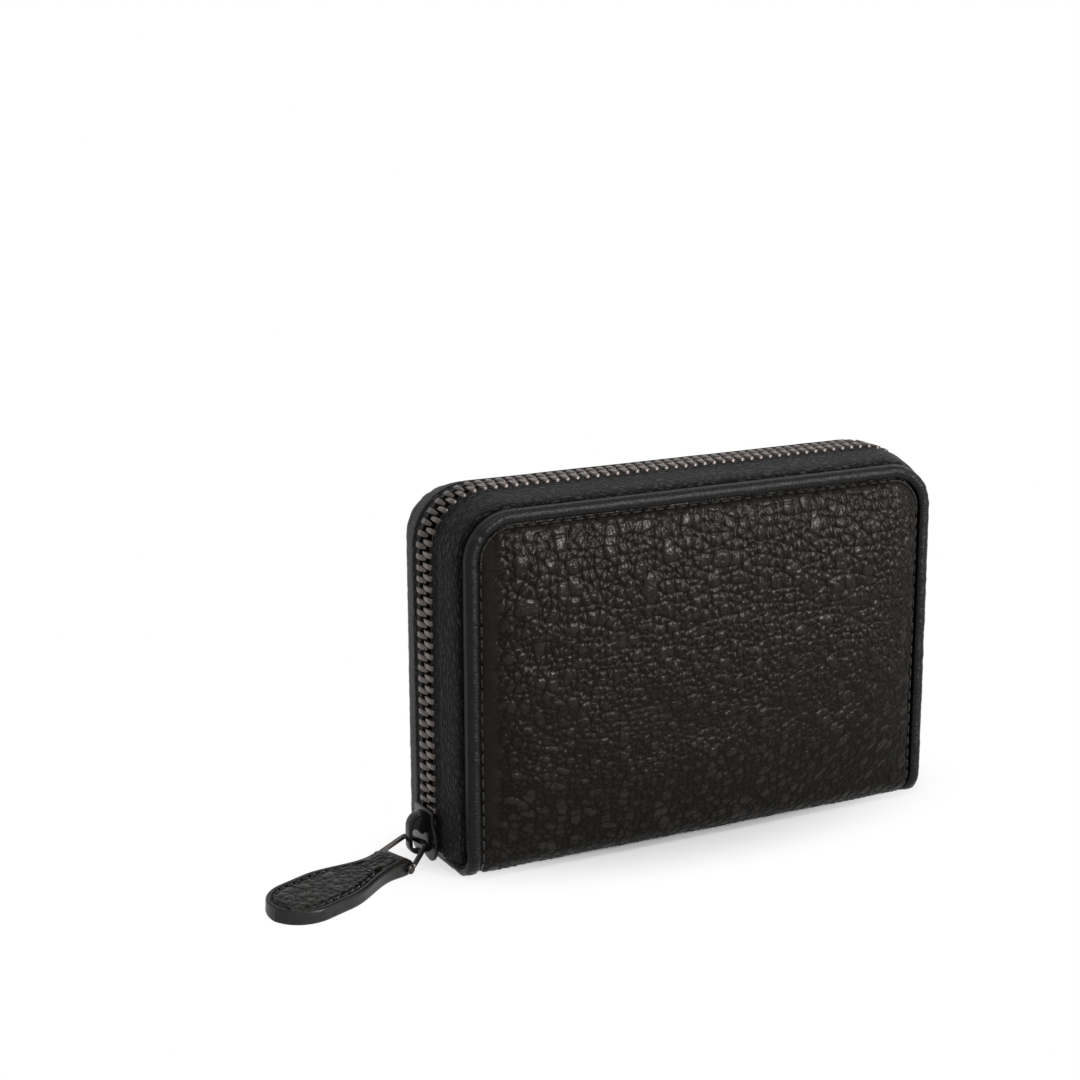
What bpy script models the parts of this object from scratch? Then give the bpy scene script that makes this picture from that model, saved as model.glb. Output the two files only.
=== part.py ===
"""Zip-around card wallet: two padded leather covers round a spine, a metal zip on three sides,
an accordion of card pockets inside, and a zip slider with a ring and a leather pull.

Metres, +Z up. The wallet stands closed on its spine. X runs along the spine, the front cover
faces -Y, the zip slider is at -X, and the origin is the middle of the spine's flat underside.
"""
import math

import bmesh
import bpy
from mathutils import Matrix, Vector

# Overall size of the closed wallet
WALLET_WIDTH = 0.110
WALLET_HEIGHT = 0.075
RIM_DEPTH = 0.0290
CORNER_RADIUS = 0.010
SPINE_BEND_RADIUS = 0.0055
PANEL_CROWN = 0.0007

# Thickness of each ply of a cover, from outside to inside, and the space between two plies
BINDING_THICKNESS = 0.0007
LEATHER_THICKNESS = 0.0008
BOARD_THICKNESS = 0.0008
LINING_THICKNESS = 0.00035
TAPE_THICKNESS = 0.00045
PLY_GAP = 0.00025
SEWN_GAP = 0.0003

# Rolled edge and stitched groove of a cover
BINDING_WIDTH = 0.0027
GROOVE_WIDTH = 0.0019
CROWN_RUN = 0.020
CROWN_FADE_HEIGHT = 0.014
SMALLEST_CORNER_RADIUS = 0.002
PADDING_INSET = 0.0062
PADDING_FOOT = 0.004
INNER_PLY_FOOT = 0.0003

# Spine
SPINE_BOARD_THICKNESS = 0.0008
SPINE_BOARD_SETBACK = 0.0062
SPINE_BOARD_EDGE = 0.0006

# Zip
CHAIN_PROUD = 0.0018
TAPE_HEM = 0.006
TAPE_GAP_TO_CORD = 0.0003
TAPE_FOOT = 0.0034
CORD_HALF_WIDTH = 0.0005
CORD_INNER = 0.0021
CORD_OUTER = 0.0033
TOOTH_PITCH = 0.0023
TOOTH_LENGTH = 0.0009
TOOTH_THICKNESS = 0.0017
TOOTH_OVERLAP = 0.0005
TOOTH_ROOT = 0.0031
FIRST_TOOTH_HEIGHT = 0.0062
STOP_THICKNESS = 0.0008
STOP_HEIGHT = 0.0016
STOP_NEAR = 0.0014

# Accordion of card pockets
WALL_COUNT = 13
WALL_PITCH = 0.00135
WALL_THICKNESS = 0.00045
WALL_FOOT = 0.0042
WALL_TOP_DROP = 0.013
GUSSET_THICKNESS = 0.0002
GUSSET_REACH = 0.0062
GUSSET_SETBACK = 0.0028
FLOOR_PLEAT_DEPTH = 0.0012

# Zip slider
SLIDER_FOOT = 0.0016
SLIDER_HEIGHT = 0.0105
SLIDER_TOP_HALF_WIDTH = 0.0042
SLIDER_FOOT_HALF_WIDTH = 0.0058
SLIDER_LOBE_HEIGHT = 0.0055
SLIDER_PLATE_THICKNESS = 0.0007
SLIDER_TOOTH_CLEARANCE = 0.0002
SLIDER_POST_HALF_WIDTH = 0.0009
SLIDER_POST_HEIGHT = 0.0024
SLIDER_POST_RISE = 0.0009
SLIDER_FLANGE_WIDTH = 0.0005
SLIDER_FLANGE_SETBACK = 0.0001
SLIDER_FLANGE_RISE = 0.0052
SLIDER_SLOT_HALF_WIDTH = 0.00055

# Crown that holds the pull, and the leaf of the slider's lock
CROWN_HALF_WIDTH = 0.0014
CROWN_WALL = 0.0006
CROWN_EYE_DEPTH = 0.0028
CROWN_BASE_RISE = 0.0009
CROWN_TOP_DROP = 0.0007
HARDWARE_GAP = 0.0001
LOCK_SPRING_THICKNESS = 0.0003
LOCK_SPRING_HALF_WIDTH = 0.0008

# Pull: wire ring and folded leather tab
RING_WIRE_RADIUS = 0.00055
RING_LENGTH = 0.0072
RING_NEAR_HALF_WIDTH = 0.0029
RING_FAR_HALF_WIDTH = 0.0048
RING_CORNER_RADIUS = 0.0011
RING_EYE_RISE = 0.0038
RING_EYE_OUT = 0.0016
PULL_HEADING = math.radians(24)
PULL_ROLL = math.radians(-4)
TAB_LENGTH = 0.0345
TAB_HALF_WIDTH = 0.0070
TAB_NECK_HALF_WIDTH = 0.0039
TAB_NECK_LENGTH = 0.0040
TAB_SHOULDER_LENGTH = 0.0150
TAB_END_LENGTH = 0.0080
TAB_LEATHER_THICKNESS = 0.0011
TAB_CORE_THICKNESS = 0.0007
TAB_CORE_INSET = 0.0010
TAB_CORE_START = 0.0036
TAB_REST_HEIGHT = 0.0024
CUT_OVERRUN = 0.002

# Hinge of the covers
HINGE_HEIGHT = 0.0016

# Steps of the round stretches
SWEEP_STEPS = 8
PANEL_STEPS = 5
BEND_STEPS = 4
LOOP_STEPS = 8
OUTLINE_STEPS = 8

# Places worked out from the sizes above
RIM_Y = RIM_DEPTH / 2
HALF_WIDTH = WALLET_WIDTH / 2
LEATHER_TUCK = BINDING_THICKNESS + PLY_GAP
BOARD_DEPTH = LEATHER_TUCK + LEATHER_THICKNESS + PLY_GAP
LINING_DEPTH = BOARD_DEPTH + BOARD_THICKNESS + PLY_GAP
TAPE_DEPTH = LINING_DEPTH + BINDING_THICKNESS + PLY_GAP
EDGE_INSET = BINDING_THICKNESS + PLY_GAP
PANEL_INSET = BINDING_WIDTH + SEWN_GAP
FLAT_SPINE_HALF = RIM_Y - SPINE_BEND_RADIUS
BEND_LENGTH = SPINE_BEND_RADIUS * math.pi / 2
SPINE_END = FLAT_SPINE_HALF - SEWN_GAP / 2
CHAIN_X = HALF_WIDTH + CHAIN_PROUD
HINGE_Y = -(RIM_Y + PANEL_CROWN - HINGE_HEIGHT)
WALL_TOP = WALLET_HEIGHT - WALL_TOP_DROP
WALL_LENGTH = WALLET_WIDTH - 2 * (GUSSET_SETBACK + GUSSET_THICKNESS + GUSSET_REACH + SEWN_GAP)
REAR, FRONT = 1, -1


def clear_scene():
    for obj in list(bpy.data.objects):
        bpy.data.objects.remove(obj)


def collection(name):
    made = bpy.data.collections.new(name)
    bpy.context.scene.collection.children.link(made)
    return made


def material(name, colour, roughness, metallic=0.0):
    made = bpy.data.materials.new(name)
    made.use_nodes = True
    shader = made.node_tree.nodes["Principled BSDF"]
    shader.inputs["Base Color"].default_value = (*colour, 1.0)
    shader.inputs["Roughness"].default_value = roughness
    shader.inputs["Metallic"].default_value = metallic
    return made


clear_scene()
PARTS = collection("zip_wallet")
CUTTERS = collection("cutters_and_guides")
PEBBLED_LEATHER = material("pebbled_leather", (0.022, 0.020, 0.019), 0.45)
SMOOTH_LEATHER = material("smooth_leather", (0.026, 0.024, 0.023), 0.40)
FOAM = material("foam", (0.30, 0.29, 0.27), 0.95)
CARD_BOARD = material("card_board", (0.24, 0.20, 0.15), 0.90)
TWILL = material("twill_lining", (0.016, 0.016, 0.018), 0.70)
ZIP_TAPE = material("zip_tape", (0.030, 0.029, 0.031), 0.80)
GUN_METAL = material("antique_metal", (0.16, 0.13, 0.115), 0.38, 0.9)
BLACK_METAL = material("black_metal", (0.020, 0.020, 0.021), 0.18, 0.8)
SPRING_STEEL = material("spring_steel", (0.42, 0.42, 0.43), 0.30, 1.0)
NYLON = material("ribbed_nylon", (0.014, 0.014, 0.018), 0.65)
RIBBON = material("gusset_ribbon", (0.055, 0.055, 0.060), 0.60)
TAB_CORE = material("tab_core", (0.05, 0.045, 0.04), 0.85)


def place_object(name, data, finish, where=PARTS):
    obj = bpy.data.objects.new(name, data)
    where.objects.link(obj)
    if finish:
        data.materials.append(finish)
    return obj


def poly_curve(name, points, closed, finish=None, where=PARTS):
    """A flat curve through the points, in its own XY plane."""
    data = bpy.data.curves.new(name, "CURVE")
    data.dimensions = "2D"
    spline = data.splines.new("POLY")
    spline.points.add(len(points) - 1)
    for point, (x, y) in zip(spline.points, points):
        point.co = (x, y, 0, 1)
    spline.use_cyclic_u = closed
    return place_object(name, data, finish, where)


def slab(name, outline, thickness, finish, where=PARTS):
    """A flat outline filled and extruded half its thickness each way."""
    obj = poly_curve(name, outline, True, finish, where)
    obj.data.fill_mode = "BOTH"
    obj.data.extrude = thickness / 2
    return obj


def stand_facing_y(obj, y):
    """Turn a flat shape drawn in X and Z upright, at the given depth."""
    obj.rotation_euler = (math.pi / 2, 0, 0)
    obj.location.y = y
    return obj


def stand_facing_x(obj, x):
    """Turn a flat shape drawn in Y and Z upright, across the spine at the given x."""
    obj.rotation_euler = (math.pi / 2, 0, math.pi / 2)
    obj.location.x = x
    return obj


def guide(obj):
    obj.hide_render = True
    obj.display_type = "WIRE"
    return obj


def as_mesh(obj, where=PARTS):
    """Replace a curve by its own welded mesh, so that it can be cut or joined."""
    bpy.context.view_layer.update()
    depsgraph = bpy.context.evaluated_depsgraph_get()
    mesh = bpy.data.meshes.new_from_object(obj.evaluated_get(depsgraph))
    name, matrix = obj.name, obj.matrix_world.copy()
    bpy.data.objects.remove(obj)
    shell = bmesh.new()
    shell.from_mesh(mesh)
    bmesh.ops.remove_doubles(shell, verts=shell.verts, dist=0.000001)
    bmesh.ops.recalc_face_normals(shell, faces=shell.faces)
    shell.to_mesh(mesh)
    shell.free()
    made = bpy.data.objects.new(name, mesh)
    where.objects.link(made)
    made.matrix_world = matrix
    return made


def boolean(obj, other, operation):
    cut = obj.modifiers.new(operation.lower(), "BOOLEAN")
    cut.operation = operation
    cut.object = other
    return cut


def arc(centre_x, centre_y, radius, start, end, steps):
    """Points along an arc, both ends included; angles in radians."""
    angles = [start + (end - start) * k / steps for k in range(steps + 1)]
    return [(centre_x + radius * math.cos(a), centre_y + radius * math.sin(a)) for a in angles]


def band(line, thickness):
    """The closed outline of a strip of even thickness along a bent line."""
    left, right = [], []
    for k, (x, y) in enumerate(line):
        before = Vector(line[k]) - Vector(line[k - 1]) if k else None
        after = Vector(line[k + 1]) - Vector(line[k]) if k + 1 < len(line) else None
        ways = [way.normalized() for way in (before, after) if way]
        middle = sum(ways, Vector((0, 0))).normalized()
        half = thickness / 2 / middle.dot(ways[0])
        left.append((x - middle.y * half, y + middle.x * half))
        right.append((x + middle.y * half, y - middle.x * half))
    return left + right[::-1]


def rim_line(inset, feet, steps):
    """The cover's edge as (x, z) points, from the foot of the left side round to the right."""
    side = HALF_WIDTH - inset
    top = WALLET_HEIGHT - inset
    radius = max(CORNER_RADIUS - inset, SMALLEST_CORNER_RADIUS)
    left = [(-side, z) for z in feet]
    left += arc(-side + radius, top - radius, radius, math.pi, math.pi / 2, steps)
    return left + [(-x, z) for x, z in reversed(left)]


def sweep_round_rim(name, section, side, foot, finish):
    """Sweep a section round three sides of a cover.

    The section's points are (inset from the rim, depth from the rim's outer plane).
    """
    way = section if side == REAR else [(n, -d) for n, d in reversed(section)]
    profile = guide(poly_curve(name + "_section", way, True, where=CUTTERS))
    obj = poly_curve(name, rim_line(0, [foot], SWEEP_STEPS), False, finish)
    obj.data.bevel_mode = "OBJECT"
    obj.data.bevel_object = profile
    obj.data.use_fill_caps = True
    return stand_facing_y(obj, side * RIM_Y)


def channel_section(legs_depth):
    """A folded leather binding: two legs and a rounded back, as (inset, depth) points."""
    wall, width, round_off = BINDING_THICKNESS, BINDING_WIDTH, BINDING_THICKNESS / 2
    outer = [(width, 0), (wall + round_off, 0), (round_off, round_off), (0, wall + round_off)]
    back = [(n, legs_depth - d) for n, d in reversed(outer)]
    inner = [(width, legs_depth - wall), (wall, legs_depth - wall), (wall, wall), (width, wall)]
    return outer + back + inner


def panel_depth(inset, rise):
    """How deep the leather's outer face lies below the rim's plane (below zero: proud of it).

    It is tucked under the rolled edge, comes up out of the stitched groove, and swells towards
    the middle. The swelling fades out towards the spine, where the leather lies flat.
    """
    if inset <= PANEL_INSET:
        return LEATHER_TUCK
    up = min((inset - PANEL_INSET) / GROOVE_WIDTH, 1)
    swell = min(max(inset - PANEL_INSET, 0) / CROWN_RUN, 1)
    fade = min(max(rise, 0) / CROWN_FADE_HEIGHT, 1)
    swell = math.sin(swell * math.pi / 2) * math.sin(fade * math.pi / 2)
    return LEATHER_TUCK * (1 - math.sin(up * math.pi / 2)) - PANEL_CROWN * swell


def on_leather(x, rise, depth, side):
    """A place on the wrapped leather: rise is measured along it, up from the spine's bend."""
    if rise >= 0:
        return x, side * (RIM_Y - depth), SPINE_BEND_RADIUS + rise
    turned = -rise / SPINE_BEND_RADIUS
    if turned <= math.pi / 2:
        reach = SPINE_BEND_RADIUS - depth
        y = FLAT_SPINE_HALF + reach * math.cos(turned)
        return x, side * y, SPINE_BEND_RADIUS - reach * math.sin(turned)
    return x, side * (FLAT_SPINE_HALF + BEND_LENGTH + rise), depth


PANEL_INSETS = [EDGE_INSET, PANEL_INSET, PANEL_INSET + GROOVE_WIDTH / 2, PANEL_INSET + GROOVE_WIDTH]
PANEL_INSETS += [PANEL_INSET + CROWN_RUN * share for share in (0.2, 0.4, 0.7, 1.0)]
PANEL_INSETS += [HALF_WIDTH * share for share in (0.6, 0.85)]
PANEL_RISES = [0] + [CROWN_FADE_HEIGHT * share for share in (0.25, 0.55, 1.0)]
BEND_RISES = [-BEND_LENGTH * k / BEND_STEPS for k in range(BEND_STEPS, 0, -1)]


def leather_sheet(name, side, rises, insets, under, finish, round_top=True):
    """An open sheet that follows the wrapped leather, under below its outer face.

    It is a nest of lines, each set in further from the cover's edge, with the middle closed by
    faces between the left and right legs of the last line.
    """
    lines = []
    for inset in insets:
        half = HALF_WIDTH - inset
        if round_top:
            feet = [SPINE_BEND_RADIUS + rise for rise in rises]
            line = [(x, z - SPINE_BEND_RADIUS) for x, z in rim_line(inset, feet, PANEL_STEPS)]
        else:
            line = [(-half, rise) for rise in rises] + [(half, rise) for rise in reversed(rises)]
        lines.append([(x, rise, panel_depth(inset, rise) + under) for x, rise in line])
    sheet = bmesh.new()
    rows = [[sheet.verts.new(on_leather(*spot, side)) for spot in line] for line in lines]
    for outer, inner in zip(rows, rows[1:]):
        for k in range(len(outer) - 1):
            if round_top or k != len(rises) - 1:
                sheet.faces.new((outer[k], outer[k + 1], inner[k + 1], inner[k]))
    last = rows[-1]
    for k in range(len(last) // 2 - 1):
        sheet.faces.new((last[k], last[k + 1], last[-2 - k], last[-1 - k]))
    if side == FRONT:
        bmesh.ops.reverse_faces(sheet, faces=sheet.faces)
    mesh = bpy.data.meshes.new(name)
    sheet.to_mesh(mesh)
    sheet.free()
    mesh.shade_smooth()
    return place_object(name, mesh, finish)


def thicken(obj, thickness):
    """Give an open sheet its thickness, on the inner side of its faces."""
    solid = obj.modifiers.new("thickness", "SOLIDIFY")
    solid.thickness = thickness
    solid.offset = -1
    solid.use_even_offset = True
    return obj


def make_leathers():
    """The outer leather: rear cover with the spine, the fold, and the front cover."""
    spine = [-BEND_LENGTH - FLAT_SPINE_HALF - SPINE_END]
    rear = leather_sheet("rear_cover_leather", REAR, spine + BEND_RISES + PANEL_RISES,
                         PANEL_INSETS, 0, PEBBLED_LEATHER)
    front = leather_sheet("front_cover_leather", FRONT, PANEL_RISES, PANEL_INSETS, 0,
                          PEBBLED_LEATHER)
    gap_rise = SEWN_GAP / 2
    bend = [-BEND_LENGTH + gap_rise] + BEND_RISES[1:] + [-SEWN_GAP]
    fold = leather_sheet("spine_fold_leather", FRONT, bend, PANEL_INSETS, 0, PEBBLED_LEATHER,
                         round_top=False)
    for sheet in (rear, front, fold):
        thicken(sheet, LEATHER_THICKNESS)


def make_padding(name, side):
    """The foam under a cover's leather: a flat back and a crowned face."""
    insets = [PADDING_INSET] + [n for n in PANEL_INSETS if n > PADDING_INSET]
    rises = [PADDING_FOOT] + [rise for rise in PANEL_RISES if rise > PADDING_FOOT]
    pad = leather_sheet(name, side, rises, insets, LEATHER_THICKNESS + PLY_GAP, FOAM)
    shape = bmesh.new()
    shape.from_mesh(pad.data)
    back = bmesh.ops.extrude_face_region(shape, geom=shape.faces[:], use_keep_orig=True)
    flat = side * (RIM_Y - BOARD_DEPTH + PLY_GAP)
    for vert in [g for g in back["geom"] if isinstance(g, bmesh.types.BMVert)]:
        vert.co.y = flat
    bmesh.ops.recalc_face_normals(shape, faces=shape.faces)
    shape.to_mesh(pad.data)
    shape.free()


def make_flat_ply(name, side, inset, depth, thickness, finish):
    """A board or lining: the cover's outline set in, standing at its depth in the stack."""
    foot = SPINE_BEND_RADIUS + INNER_PLY_FOOT
    ply = slab(name, rim_line(inset, [foot], PANEL_STEPS), thickness, finish)
    return stand_facing_y(ply, side * (RIM_Y - depth - thickness / 2))


def tape_section():
    """The zip tape across its width: a flat hem inside the cover, then the proud band."""
    hem = TAPE_DEPTH + TAPE_THICKNESS / 2
    reach = RIM_Y - CORD_OUTER - TAPE_GAP_TO_CORD
    out = CHAIN_PROUD
    turn = (reach - hem) / 4
    line = [(TAPE_HEM, hem), (BINDING_THICKNESS * 2, hem), (0, hem + turn * 0.35)]
    line += [(-out * 0.55, hem + turn), (-out * 0.9, hem + turn * 2.4), (-out, reach)]
    return band(line, TAPE_THICKNESS)


def make_cover(word, side):
    make_padding(word + "_cover_padding", side)
    make_flat_ply(word + "_cover_board", side, EDGE_INSET, BOARD_DEPTH, BOARD_THICKNESS, CARD_BOARD)
    make_flat_ply(word + "_cover_lining", side, PANEL_INSET, LINING_DEPTH, LINING_THICKNESS, TWILL)
    sweep_round_rim(word + "_edge_binding", channel_section(LINING_DEPTH + BINDING_THICKNESS), side,
                    SPINE_BEND_RADIUS + SEWN_GAP / 2, SMOOTH_LEATHER)
    sweep_round_rim(word + "_zip_tape", tape_section(), side, TAPE_FOOT, ZIP_TAPE)


def bend_line(side):
    """The spine's rounded edge in (y, z), up to the cover, as straight lines that touch its arc."""
    step = math.pi / 2 / BEND_STEPS
    reach = SPINE_BEND_RADIUS / math.cos(step / 2)
    turns = [step * (k + 0.5) for k in range(BEND_STEPS)]
    line = [(side * (FLAT_SPINE_HALF + reach * math.sin(turn)),
             SPINE_BEND_RADIUS - reach * math.cos(turn)) for turn in turns]
    return line + [(side * RIM_Y, SPINE_BEND_RADIUS)]


def make_spine():
    """The stiff strip and the lining in the spine, and the bound ends of the spine's leather."""
    board_z = LEATHER_THICKNESS + PLY_GAP + SPINE_BOARD_THICKNESS / 2
    half_long = HALF_WIDTH - SPINE_BOARD_SETBACK
    half_wide = FLAT_SPINE_HALF - SPINE_BOARD_EDGE
    oblong = [(-half_long, -half_wide), (half_long, -half_wide), (half_long, half_wide),
              (-half_long, half_wide)]
    board = slab("spine_board", oblong, SPINE_BOARD_THICKNESS, CARD_BOARD)
    board.location.z = board_z
    lining = slab("spine_lining", oblong, LINING_THICKNESS, TWILL)
    lining.location.z = board_z + (SPINE_BOARD_THICKNESS + LINING_THICKNESS) / 2 + PLY_GAP
    depth = LEATHER_TUCK + LEATHER_THICKNESS + PLY_GAP + BINDING_THICKNESS
    section = channel_section(depth)
    for word, end in (("left", -1), ("right", 1)):
        way = [(-d, -end * n) for n, d in section]
        way = way if end == -1 else way[::-1]
        profile = guide(poly_curve("spine_end_section_" + word, way, True, where=CUTTERS))
        rear_line = [(-SPINE_END, 0)] + bend_line(REAR)
        fold_line = bend_line(FRONT)[::-1] + [(-SPINE_END - SEWN_GAP, 0)]
        for name, line in (("spine_end_binding_", rear_line), ("fold_binding_", fold_line)):
            obj = poly_curve(name + word, line, False, SMOOTH_LEATHER)
            obj.data.bevel_mode = "OBJECT"
            obj.data.bevel_object = profile
            obj.data.use_fill_caps = True
            stand_facing_x(obj, end * HALF_WIDTH)


def chain_frames(offset):
    """Where each tooth stands along the chain: its place, and its way along and out."""
    foot = FIRST_TOOTH_HEIGHT + offset
    top = WALLET_HEIGHT - CORNER_RADIUS
    radius = CORNER_RADIUS + CHAIN_PROUD
    leg, bend = top - foot, radius * math.pi / 2
    across = WALLET_WIDTH - 2 * CORNER_RADIUS
    ends = [leg, leg + bend, leg + bend + across, leg + 2 * bend + across]
    total = ends[-1] + top - FIRST_TOOTH_HEIGHT
    frames = []
    for k in range(int(total / TOOTH_PITCH) + 1):
        s = k * TOOTH_PITCH
        if s <= ends[0]:
            x, z, turned = -CHAIN_X, foot + s, 0
        elif s <= ends[1]:
            turned = (s - ends[0]) / radius
            x = -HALF_WIDTH + CORNER_RADIUS - radius * math.cos(turned)
            z = top + radius * math.sin(turned)
        elif s <= ends[2]:
            x, z = -HALF_WIDTH + CORNER_RADIUS + s - ends[1], WALLET_HEIGHT + CHAIN_PROUD
            turned = math.pi / 2
        elif s <= ends[3]:
            turned = math.pi / 2 + (s - ends[2]) / radius
            x = HALF_WIDTH - CORNER_RADIUS - radius * math.cos(turned)
            z = top + radius * math.sin(turned)
        else:
            x, z, turned = CHAIN_X, top - (s - ends[3]), math.pi
        frames.append((Vector((x, 0, z)), turned))
    return frames


def make_teeth(name, side, offset):
    """One row of the chain: the tape's corded edge with a metal tooth clamped on every pitch."""
    cord_middle, cord_wide = (CORD_INNER + CORD_OUTER) / 2, (CORD_OUTER - CORD_INNER) / 2
    section = [(-CHAIN_PROUD + n * CORD_HALF_WIDTH, RIM_Y - cord_middle + d * cord_wide)
               for n, d in ((-1, -1), (-1, 1), (1, 1), (1, -1))]
    cord = sweep_round_rim(name, section, side, FIRST_TOOTH_HEIGHT - TOOTH_LENGTH, GUN_METAL)
    cord = as_mesh(cord)
    teeth = bmesh.new()
    reach = TOOTH_ROOT + TOOTH_OVERLAP
    for middle, turned in chain_frames(offset):
        turn = Matrix.Rotation(turned, 4, "Y")
        away = Matrix.Translation((0, side * (TOOTH_ROOT - TOOTH_OVERLAP) / 2, 0))
        size = Matrix.Diagonal((TOOTH_THICKNESS, reach, TOOTH_LENGTH, 1))
        bmesh.ops.create_cube(teeth, size=1, matrix=Matrix.Translation(middle) @ turn @ away @ size)
    mesh = bpy.data.meshes.new(name + "_cutter")
    teeth.to_mesh(mesh)
    teeth.free()
    cutter = guide(place_object(name + "_cutter", mesh, None, CUTTERS))
    boolean(cord, cutter, "UNION")


def block(name, centre, size, finish, where=PARTS):
    """A box of the given size, from a cube primitive."""
    shape = bmesh.new()
    bmesh.ops.create_cube(shape, size=1, matrix=Matrix.Diagonal((*size, 1)))
    mesh = bpy.data.meshes.new(name)
    shape.to_mesh(mesh)
    shape.free()
    obj = place_object(name, mesh, finish, where)
    obj.location = centre
    return obj


def make_zip_stops():
    """A stop on each tape below the first teeth, and the box that joins both at the other end."""
    length = CORD_OUTER - STOP_NEAR
    z = TAPE_FOOT + STOP_HEIGHT / 2
    for word, side in (("rear", REAR), ("front", FRONT)):
        block(word + "_top_stop", (-CHAIN_X, side * (STOP_NEAR + length / 2), z),
              (STOP_THICKNESS, length, STOP_HEIGHT), GUN_METAL)
    block("zip_bottom_stop", (CHAIN_X, 0, z), (TOOTH_THICKNESS, 2 * CORD_OUTER, STOP_HEIGHT),
          GUN_METAL)


def wall_y(k):
    """The depth of pocket wall k, counted from 0 at the rear."""
    return WALL_PITCH * ((WALL_COUNT - 1) / 2 - k)


def pleat_line(near, far):
    """A folded sheet that joins neighbouring walls: (distance, y) along its flat folds."""
    quarter = WALL_PITCH / 4
    line = []
    for k in range(WALL_COUNT - 1):
        line += [(near, wall_y(k) - quarter), (far, wall_y(k) - quarter)]
        line += [(far, wall_y(k + 1) + quarter), (near, wall_y(k + 1) + quarter)]
    return line


def make_pockets():
    """The pocket walls, the pleats at their two ends and the pleated floor between them."""
    half, height = WALL_LENGTH / 2, WALL_TOP - WALL_FOOT
    for k in range(WALL_COUNT):
        block(f"pocket_wall_{k + 1:02d}", (0, wall_y(k), WALL_FOOT + height / 2),
              (WALL_LENGTH, WALL_THICKNESS, height), NYLON)
    near = half + SEWN_GAP + GUSSET_THICKNESS / 2
    far = near + GUSSET_REACH
    for word, end in (("left", -1), ("right", 1)):
        outline = band([(end * x, y) for x, y in pleat_line(near, far)], GUSSET_THICKNESS)
        pleats = slab("pocket_gusset_" + word, outline, height, NYLON)
        pleats.location.z = WALL_FOOT + height / 2
        for cover, side in (("rear", REAR), ("front", FRONT)):
            wall = abs(wall_y(0)) + WALL_THICKNESS / 2 + SEWN_GAP / 2 + GUSSET_THICKNESS / 2
            hem = RIM_Y - TAPE_DEPTH - TAPE_THICKNESS - SEWN_GAP / 2 - GUSSET_THICKNESS / 2
            fold = [(near, wall), (far, wall), (far, hem), (near, hem)]
            outline = band([(end * x, side * y) for x, y in fold], GUSSET_THICKNESS)
            ribbon = slab(f"{cover}_ribbon_gusset_{word}", outline, height, RIBBON)
            ribbon.location.z = WALL_FOOT + height / 2
    top = WALL_FOOT - SEWN_GAP / 2 - GUSSET_THICKNESS / 2
    folds = pleat_line(top, top - FLOOR_PLEAT_DEPTH)
    floor = slab("pocket_floor_pleats", band([(y, z) for z, y in folds], GUSSET_THICKNESS),
                 WALL_LENGTH, NYLON)
    stand_facing_x(floor, 0)


CHAIN_OUTSIDE = CHAIN_X + TOOTH_THICKNESS / 2
CHAIN_INSIDE = CHAIN_X - TOOTH_THICKNESS / 2
PLATE_OUTER_FACE = CHAIN_OUTSIDE + SLIDER_TOOTH_CLEARANCE + SLIDER_PLATE_THICKNESS
EYE_X = -(PLATE_OUTER_FACE + RING_EYE_OUT)
EYE_Z = SLIDER_FOOT + RING_EYE_RISE


def slider_outline():
    """The slider's plate, in Y and Z: narrow where the chain is closed, wide with round lobes."""
    top = SLIDER_FOOT + SLIDER_HEIGHT
    radius = SLIDER_TOP_HALF_WIDTH / 3
    lobe = SLIDER_FOOT_HALF_WIDTH / 2
    half = arc(lobe, SLIDER_FOOT + lobe, lobe, -math.pi / 2, 0, OUTLINE_STEPS // 2)
    half += [(SLIDER_FOOT_HALF_WIDTH, SLIDER_FOOT + SLIDER_LOBE_HEIGHT)]
    half += [(SLIDER_TOP_HALF_WIDTH, SLIDER_FOOT + SLIDER_LOBE_HEIGHT + lobe)]
    half += arc(SLIDER_TOP_HALF_WIDTH - radius, top - radius, radius, 0, math.pi / 2,
                OUTLINE_STEPS // 4)
    return half + [(-y, z) for y, z in reversed(half)]


def make_slider():
    """Two plates joined by the post that parts the rows, with flanges along the plates' edges."""
    thick, plate_gap = SLIDER_PLATE_THICKNESS, SLIDER_TOOTH_CLEARANCE
    outer_x = -(CHAIN_OUTSIDE + plate_gap + thick / 2)
    inner_x = -(CHAIN_INSIDE - plate_gap - thick / 2)
    body = stand_facing_x(slab("zip_slider_body", slider_outline(), thick, BLACK_METAL), outer_x)
    body = as_mesh(body)
    inner = stand_facing_x(slab("slider_inner_plate_cutter", slider_outline(), thick, None, CUTTERS),
                           inner_x)
    joined = [guide(as_mesh(inner, CUTTERS))]
    post_z = SLIDER_FOOT + SLIDER_POST_RISE + SLIDER_POST_HEIGHT / 2
    joined.append(block("slider_post_cutter", ((outer_x + inner_x) / 2, 0, post_z),
                        (inner_x - outer_x, 2 * SLIDER_POST_HALF_WIDTH, SLIDER_POST_HEIGHT),
                        None, CUTTERS))
    low = SLIDER_FOOT + SLIDER_FLANGE_RISE
    high = SLIDER_FOOT + SLIDER_HEIGHT - SLIDER_TOP_HALF_WIDTH / 3 - SLIDER_FLANGE_SETBACK
    flange_y = SLIDER_TOP_HALF_WIDTH - SLIDER_FLANGE_SETBACK - SLIDER_FLANGE_WIDTH / 2
    for plate_x, way in ((outer_x, 1), (inner_x, -1)):
        edge = -CHAIN_X - way * SLIDER_SLOT_HALF_WIDTH
        for end in (-1, 1):
            joined.append(block("slider_flange_cutter",
                                ((plate_x + edge) / 2, end * flange_y, (low + high) / 2),
                                (abs(edge - plate_x), SLIDER_FLANGE_WIDTH, high - low),
                                None, CUTTERS))
    for other in joined:
        boolean(body, guide(other), "UNION")


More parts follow.
